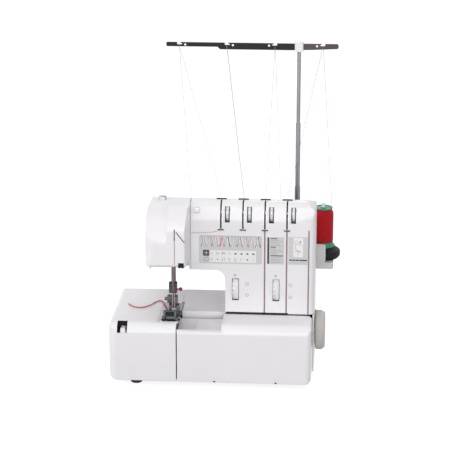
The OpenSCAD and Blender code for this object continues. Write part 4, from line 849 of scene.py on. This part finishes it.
# a strip of slanted overlock stitches above the table of settings
def makeStitchChart(settings):
    painter = PanelPainter(["printPale", "printWhite", "printGrey", "printDark", "printOrange", "printRose"])
    pale, white, grey, dark, orange, rose = range(6)
    left, right, high = settings["left"], settings["right"], settings["high"]
    painter.card(left, settings["low"], right, high, settings["corner"], pale)
    top = high - 1.6
    foot = top - settings["tall"]
    for i, leg in enumerate((grey, rose, grey, orange, dark, grey, rose, rose, grey, dark)):
        x = left + settings["margin"] + i * settings["motif"]
        odd, third = i % 2 == 1, i % 3 == 0
        back = grey if odd else white
        painter.line([(x + 3.4, top), (x - 0.4, foot)], 1.8, white)
        painter.line([(x + 3.0, top), (x + 5.2, top - 7), (x + 6.6, foot)], 1.4, leg, 2)
        painter.line([(x + 4.9, top), (x + 6.9, top - 7), (x + 8.0, foot + 1)], 0.8, back, 2)
        painter.line([(x + 1.9, top - 3), (x + 0.5, foot + 4)], 0.7, rose if third else grey, 3)
        painter.line([(x + 4.6, top - 1), (x + 6.2, foot + 5)], 0.7, white if odd else pale, 3)
        painter.line([(x + 0.8, foot + 5), (x - 1.2, foot)], 1.0, dark if third else grey, 3)
        painter.line([(x - 1.2, top), (x + 1.6, top - 4.6)], 0.7, grey, 2)
        if leg == orange:
            painter.line([(x + 2.8, top - 2), (x + 0.6, foot + 1)], 1.1, orange, 4)
    painter.line([(left + 2, high - 1.1), (right - 2, high - 1.1)], 0.5, grey, 6)
    x0, z0, x1, z1 = settings["table"]
    painter.card(x0, z0, x1, z1, 0.8, white, 1)
    painter.card(x0 - 10.4, z0 + 10.4, x0 - 0.4, z1 + 0.4, 0.6, dark, 1)
    painter.line([(x0 - 8.4, z1 - 4.6), (x0 - 1.8, z1 - 4.6)], 0.8, pale, 2)
    painter.line([(x0 - 5.1, z1 - 1.4), (x0 - 5.1, z1 - 7.8)], 0.8, pale, 2)
    painter.card(x0 - 9.2, z0 + 1, x0 - 1.2, z0 + 9, 3.4, grey, 1)
    painter.card(x0 - 7.6, z0 + 2.8, x0 - 2.8, z0 + 7.2, 1.6, pale, 2)
    step = (x1 - x0 - 4) / (settings["columns"] - 0.6)
    for i in range(settings["columns"]):
        x = x0 + 3.4 + i * step
        printUpperSign(painter, i, x, z1 - 5.2, grey, dark)
        printLowerSign(painter, i, x, z0 + 5, grey, dark)
    painter.done("stitch_chart")


# the table's upper row: two sets of bars, a flag, a bend, and feet
def printUpperSign(painter, column, x, z, grey, dark):
    if column < 2:
        painter.line([(x - 2.6, z + 1.1), (x - 0.4, z + 1.1)], 0.9, grey, 2)
        painter.line([(x - 2.6, z - 1.1), (x - 0.4, z - 1.1)], 0.9, grey, 2)
        painter.line([(x + 0.6, z), (x + 2.4, z)], 1.2, dark if column else grey, 2)
    elif column == 2:
        painter.line([(x - 1.6, z - 1.4), (x - 1.6, z + 1.6)], 1.2, dark, 2)
        painter.shape([(x + 0.2, z - 1.2), (x + 2.8, z + 0.2), (x + 0.4, z + 1.3)], dark, 2)
    elif column == 3:
        painter.line([(x - 1.4, z + 1.2), (x, z - 0.6), (x + 1.8, z + 0.4)], 0.9, grey, 2)
    else:
        foot = [(x - 1.9, z - 1.2), (x + 2.1, z - 1.2), (x + 1.3, z + 1.2), (x - 0.6, z + 1.5)]
        painter.shape(foot, dark, 2)


# the table's lower row: two lozenges, a needle, hooks, a slope, a wedge and a stroke
def printLowerSign(painter, column, x, z, grey, dark):
    if column < 2:
        painter.shape([(x - 1.8, z), (x, z - 1.6), (x + 1.8, z), (x, z + 1.6)], grey, 2)
    elif column == 2:
        painter.line([(x - 1.8, z - 2.4), (x - 1.8, z + 1.2)], 0.9, dark, 2)
        painter.line([(x + 0.4, z + 3.2), (x + 2.0, z + 2.2), (x + 1.8, z - 3)], 0.8, grey, 2)
    elif column < 5:
        painter.line([(x - 1.6, z + 3), (x - 0.8, z - 1), (x + 1.6, z + 1.6)], 0.8, grey, 2)
        painter.shape([(x - 0.4, z - 3.4), (x + 1.6, z - 3.2), (x + 0.8, z - 1.8)], dark, 3)
    elif column == 5:
        painter.line([(x - 2.2, z - 2), (x - 0.4, z + 1), (x + 1.6, z + 2.2)], 0.8, grey, 2)
    elif column == 6:
        painter.shape([(x - 1.8, z + 1), (x, z - 1.7), (x + 1.8, z + 1)], dark, 2)
    else:
        painter.line([(x, z - 3), (x, z + 3.4)], 0.5, grey, 2)


sideChartSet = {"list": (78.5, 189.9, 105.9, 235.1), "rows": 15, "rowPitch": 2.85, "seed": 3,
                "board": (112.6, 189.9, 143.3, 235.8), "sketch": (120.5, 203, 136, 234.4)}


# a list whose words are plain bars, and a sketch of the thread's path
def makeSideCharts(settings):
    painter = PanelPainter(["printPale", "printWhite", "printGrey", "printDark", "printOrange"])
    pale, white, grey, dark, orange = range(5)
    painter.card(*settings["list"], 0.8, pale)
    painter.line([(80.7, 190.6), (80.7, 234.4)], 3.0, dark)
    draw = random.Random(settings["seed"])
    for i in range(settings["rows"]):
        z = 232.6 - i * settings["rowPitch"]
        end = 92 + 12 * draw.random()
        width, ink = (1.1, grey) if i % 5 else (1.4, dark)
        painter.line([(84.2, z), (end, z)], width, ink)
        if i % 3 == 1:
            painter.line([(97, z - 1.3), (103.5, z - 1.3)], 0.6, grey, 2)
    painter.card(*settings["board"], 0.8, pale)
    painter.card(*settings["sketch"], 1.2, white, 1)
    painter.ring(125.2, 226.5, 3, 0.5, orange, 2)
    painter.line([(124.4, 223.6), (123.6, 218), (125.2, 214)], 0.5, orange, 2)
    painter.line([(131, 231), (131.8, 228), (130.4, 225.4), (131.6, 222)], 0.5, dark, 2)
    painter.line([(123.4, 211.6), (127.8, 213.6), (132.6, 210.6)], 0.6, dark, 2)
    painter.line([(128.4, 213), (128, 206.2)], 0.5, dark, 2)
    painter.shape([(130.2, 226.8), (132.8, 226.8), (131.5, 229.2)], dark, 3)
    for a, b in ((114.4, 118.8), (119.6, 123.4), (124.2, 129.8), (130.6, 142.2)):
        painter.line([(a, 197.4), (b, 197.4)], 2.3, dark)
    painter.line([(116, 193), (139, 193)], 0.7, grey)
    painter.done("side_charts")


makeStitchChart(stitchChartSet)
makeSideCharts(sideChartSet)

panelMarkSet = {"scaleInks": ["printOlive", "printGrey", "printRed", "printBlue"], "scaleTall": 25,
                "window": 7.6, "ticks": 8, "rings": ((47, 156), (47, 137), (116.4, 155), (116.4, 134.8)),
                "tabs": (27.6, 92.8), "dialTicks": 7, "grooves": (75, 110, 145), "grooveWidth": 2.2,
                "grooveFoot": 106.6, "grooveTop": 246, "footGaps": ((13.4, 113), (119.6, 154))}


# scales beside the tension windows and the stitch dials, rings, and painted shade on the floors of the
# grooves and along the gaps at the panel's foot
def makePanelMarks(settings):
    painter = PanelPainter(["printDark", "printGrey"] + settings["scaleInks"])
    dark, grey, firstScale = 0, 1, 2
    half, wide = settings["scaleTall"] / 2, settings["window"] / 2
    middle = tensionDialSet["z"]
    pitch = (2 * half - 3.2) / settings["ticks"]
    for number, x in enumerate(tensionDialSet["xs"]):
        ink = firstScale + number
        for k in range(settings["ticks"]):
            z = middle - half + 1.6 + k * pitch
            painter.line([(x - wide - 2.4, z), (x - wide - 0.5, z)], 0.5, ink)
        painter.line([(x + wide + 0.5, middle - half), (x + wide + 0.5, middle + half - 4)], 0.7, ink)
    for x, z in settings["rings"]:
        painter.ring(x, z, 2.6, 0.7, grey)
        painter.line([(x - 1.2, z), (x + 1.2, z)], 0.7, grey, 2)
    for x in settings["tabs"]:
        painter.card(x - 2.2, 169.2, x + 2.2, 171.6, 0.5, grey, 1)
        painter.line([(x, 166.6), (x, 168.6)], 0.5, dark)
    for x in stitchDialSet["xs"].values():
        for k in range(settings["dialTicks"]):
            z = 132 + k * 4.6
            painter.line([(x - 8.2, z), (x - (7.0 if k % 3 else 6.4), z)], 0.4, grey)
    painter.done("panel_marks")
    # painted shade: dark strips on the groove floors and along the gaps at the panel's foot
    half = settings["grooveWidth"] / 2
    painter = PanelPainter(["grooveShade"], lift=0.05)
    for x in settings["grooves"]:
        painter.card(x - half, settings["grooveFoot"], x + half, settings["grooveTop"], 0.3, 0)
    painter.done("groove_shade")
    painter = PanelPainter(["pocket"], lift=0.05)
    for a, b in settings["footGaps"]:
        painter.line([(a, 107.1), (b, 107.1)], 1.7, 0, 0)
    painter.done("panel_foot_shade")


makePanelMarks(panelMarkSet)

# the angles of the first number and between numbers, in degrees about the dial's axis
numberSet = {"tension": {"labels": "0123456789", "size": 3.0, "start": -150, "step": 30, "offset": 0.0},
             "stitch": {"labels": "1234567", "size": 3.6, "start": -60, "step": 20, "offset": -2.9},
             "relief": 0.08}


# one number as a flat mesh
def makeDigit(label, size):
    curve = bpy.data.curves.new("digit", "FONT")
    curve.body, curve.size = label, size
    curve.align_x, curve.align_y = "CENTER", "CENTER"
    curve.resolution_u = 3
    holder = newObject("digit", curve)
    flat = finishedMesh(holder)
    bpy.data.objects.remove(holder)
    return flat


# numbers round the rim of a dial
def makeDialNumbers(name, body, centre, radius, settings):
    bm = bmesh.new()
    for k, label in enumerate(settings["labels"]):
        base = radians(settings["start"] + k * settings["step"])
        digit = bmesh.new()
        digit.from_mesh(makeDigit(label, settings["size"]))
        bmesh.ops.remove_doubles(digit, verts=digit.verts, dist=1e-4)
        solid = bmesh.ops.extrude_face_region(digit, geom=digit.faces[:])
        lifted = {v for v in solid["geom"] if isinstance(v, bmesh.types.BMVert)}
        for v in digit.verts:
            angle = base + v.co.y / radius
            r = radius + (numberSet["relief"] if v in lifted else -numberSet["relief"])
            v.co = at(centre[0] + settings["offset"] + v.co.x, centre[1] - r * cos(angle),
                      centre[2] + r * sin(angle))
        piece = meshFrom(digit, "digitSolid")
        bm.from_mesh(piece)
    addObject(name, meshFrom(bm, name), "printDark", body, smooth=0)


for number, x in enumerate(tensionDialSet["xs"]):
    makeDialNumbers(f"tension_numbers_{number + 1}", f"tension_dial_{number + 1}",
                    (x, tensionDialSet["y"], tensionDialSet["z"]), tensionDialSet["radius"],
                    numberSet["tension"])
for node, x in stitchDialSet["xs"].items():
    makeDialNumbers(node + "_numbers", bodyOf(node), (x, stitchDialSet["y"], stitchDialSet["z"]),
                    stitchDialSet["radius"], numberSet["stitch"])
print("stage: printed marks")


# a thread piece with its finishes and smooth shading, its place baked into its mesh
def addBlended(name, mesh, inks):
    piece = newObject(name, mesh)
    for ink in inks:
        mesh.materials.append(finishes[ink])
    mesh.shade_smooth()
    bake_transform(piece)
    return piece


supplySet = {"hooks": ((-74, 1), (4, 1), (81, -1), (159, -1)), "barZ": 512, "plateY": 80.05,
             "slots": (5, 40, 75, 110), "slotY": -53.5, "slotZ": 292.4, "radius": 0.28,
             "foot": {"spool": 244, "slot": 293}, "split": {"spool": 376, "slot": 400},
             "inks": ("greyThread", "greyThread", "greyThread", "mauveThread")}


def straightRoute(a, b, steps=24):
    return [tuple(Vector(a).lerp(Vector(b), k / steps)) for k in range(steps + 1)]


# each thread rises from its spool to its hook and comes down to its slot, in a lower and an upper half
# split at a given height
def makeSupplyThreads(settings):
    lower = {"spool": bmesh.new(), "slot": bmesh.new()}
    upper = {"spool": bmesh.new(), "slot": bmesh.new()}
    r, plateY, barZ = settings["radius"], settings["plateY"], settings["barZ"]
    for i, (hook, side) in enumerate(settings["hooks"]):
        spool = (spoolSet["pins"][i] + spoolSet["radius"] - 3, spoolSet["pinY"],
                 spoolSet["base"] + spoolSet["height"] + 6)
        rear = (hook - side, plateY + 3, barZ + 2)
        front = (hook - side, plateY - 1.5, barZ + 2)
        slot = (settings["slots"][i], settings["slotY"], settings["slotZ"])
        for run, a, b in (("spool", spool, rear), ("slot", slot, front)):
            split = (settings["split"][run] - a[2]) / (b[2] - a[2])
            middle = tuple(Vector(a).lerp(Vector(b), split))
            makeTube(lower[run], straightRoute(a, middle), r, material=i)
            makeTube(upper[run], straightRoute(middle, b), r, material=i)
        crest = (hook - side, plateY + 0.7, barZ + 2.3)
        makeTube(upper["slot"], [rear, crest, front], r, material=i)
    for run in ("spool", "slot"):
        foot, split = settings["foot"][run], settings["split"][run]
        piece = addBlended(f"supply_{run}_lower", meshFrom(lower[run], run + "Lower"), settings["inks"])
        if run == "spool":
            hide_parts("supply_threads")
        addBlended(f"supply_{run}_upper", meshFrom(upper[run], run + "Upper"), settings["inks"])


makeSupplyThreads(supplySet)

looseSet = {
    "grooves": (75, 110), "grooveRoute": ((-75.6, 246), (-74.4, 236), (-74.3, 180), (-74.3, 107)),
    "across": ((5, -77.6, 246), (-6, -78.4, 242.6), (-24, -78.4, 241), (-42.5, -77.8, 240.2)),
    "head": ((-63, -134.6, 262), (-63, -134.6, 240), (-63, -134.6, 216), (-63.1, -134.4, 206),
             (-63.5, -131.5, 200), (-66, -123, 193), (-68, -112, 186)),
    "joined": ((-68, -112, 186), (-68.4, -110.4, 178), (-68.6, -109.4, 168)), "parting": (-108.5, 158),
    "needles": (-70.2, -66.8),
    "alongNeedle": ((-107.2, 148.2), (-104.2, 143), (-103.35, 130), (-103.35, 117)),
    "grooveRadius": 0.45, "headRadius": 0.3, "needleRadius": 0.25, "barHeights": (186, 170),
}


# threads in the panel's grooves, down the head and to the two needles
def makeLooseThreads(settings):
    bm = bmesh.new()
    for x in settings["grooves"]:
        route = [(x, y, z) for y, z in settings["grooveRoute"]]
        makeTube(bm, smoothRoute(route, 8), settings["grooveRadius"])
    makeTube(bm, smoothRoute(settings["across"], 6), settings["headRadius"])
    addObject("panel_strands", meshFrom(bm, "panelStrands"), "mauveThread", "root",
              ["panel_threads"], smooth=60)
    bm = bmesh.new()
    makeTube(bm, smoothRoute(settings["head"], 6), settings["headRadius"])
    addObject("needle_strand_top", meshFrom(bm, "needleStrandTop"), "mauveThread", "root",
              smooth=60)
    bm = bmesh.new()
    for x in settings["needles"]:
        halfway = (x + settings["joined"][-1][0]) / 2
        route = list(settings["joined"]) + [(halfway, *settings["parting"])]
        route += [(x, y, z) for y, z in settings["alongNeedle"]]
        makeTube(bm, smoothRoute(route, 5), settings["needleRadius"])
    addBlended("needle_strands", meshFrom(bm, "needleStrands"), ["mauveThread"])


makeLooseThreads(looseSet)
print("stage: threads")
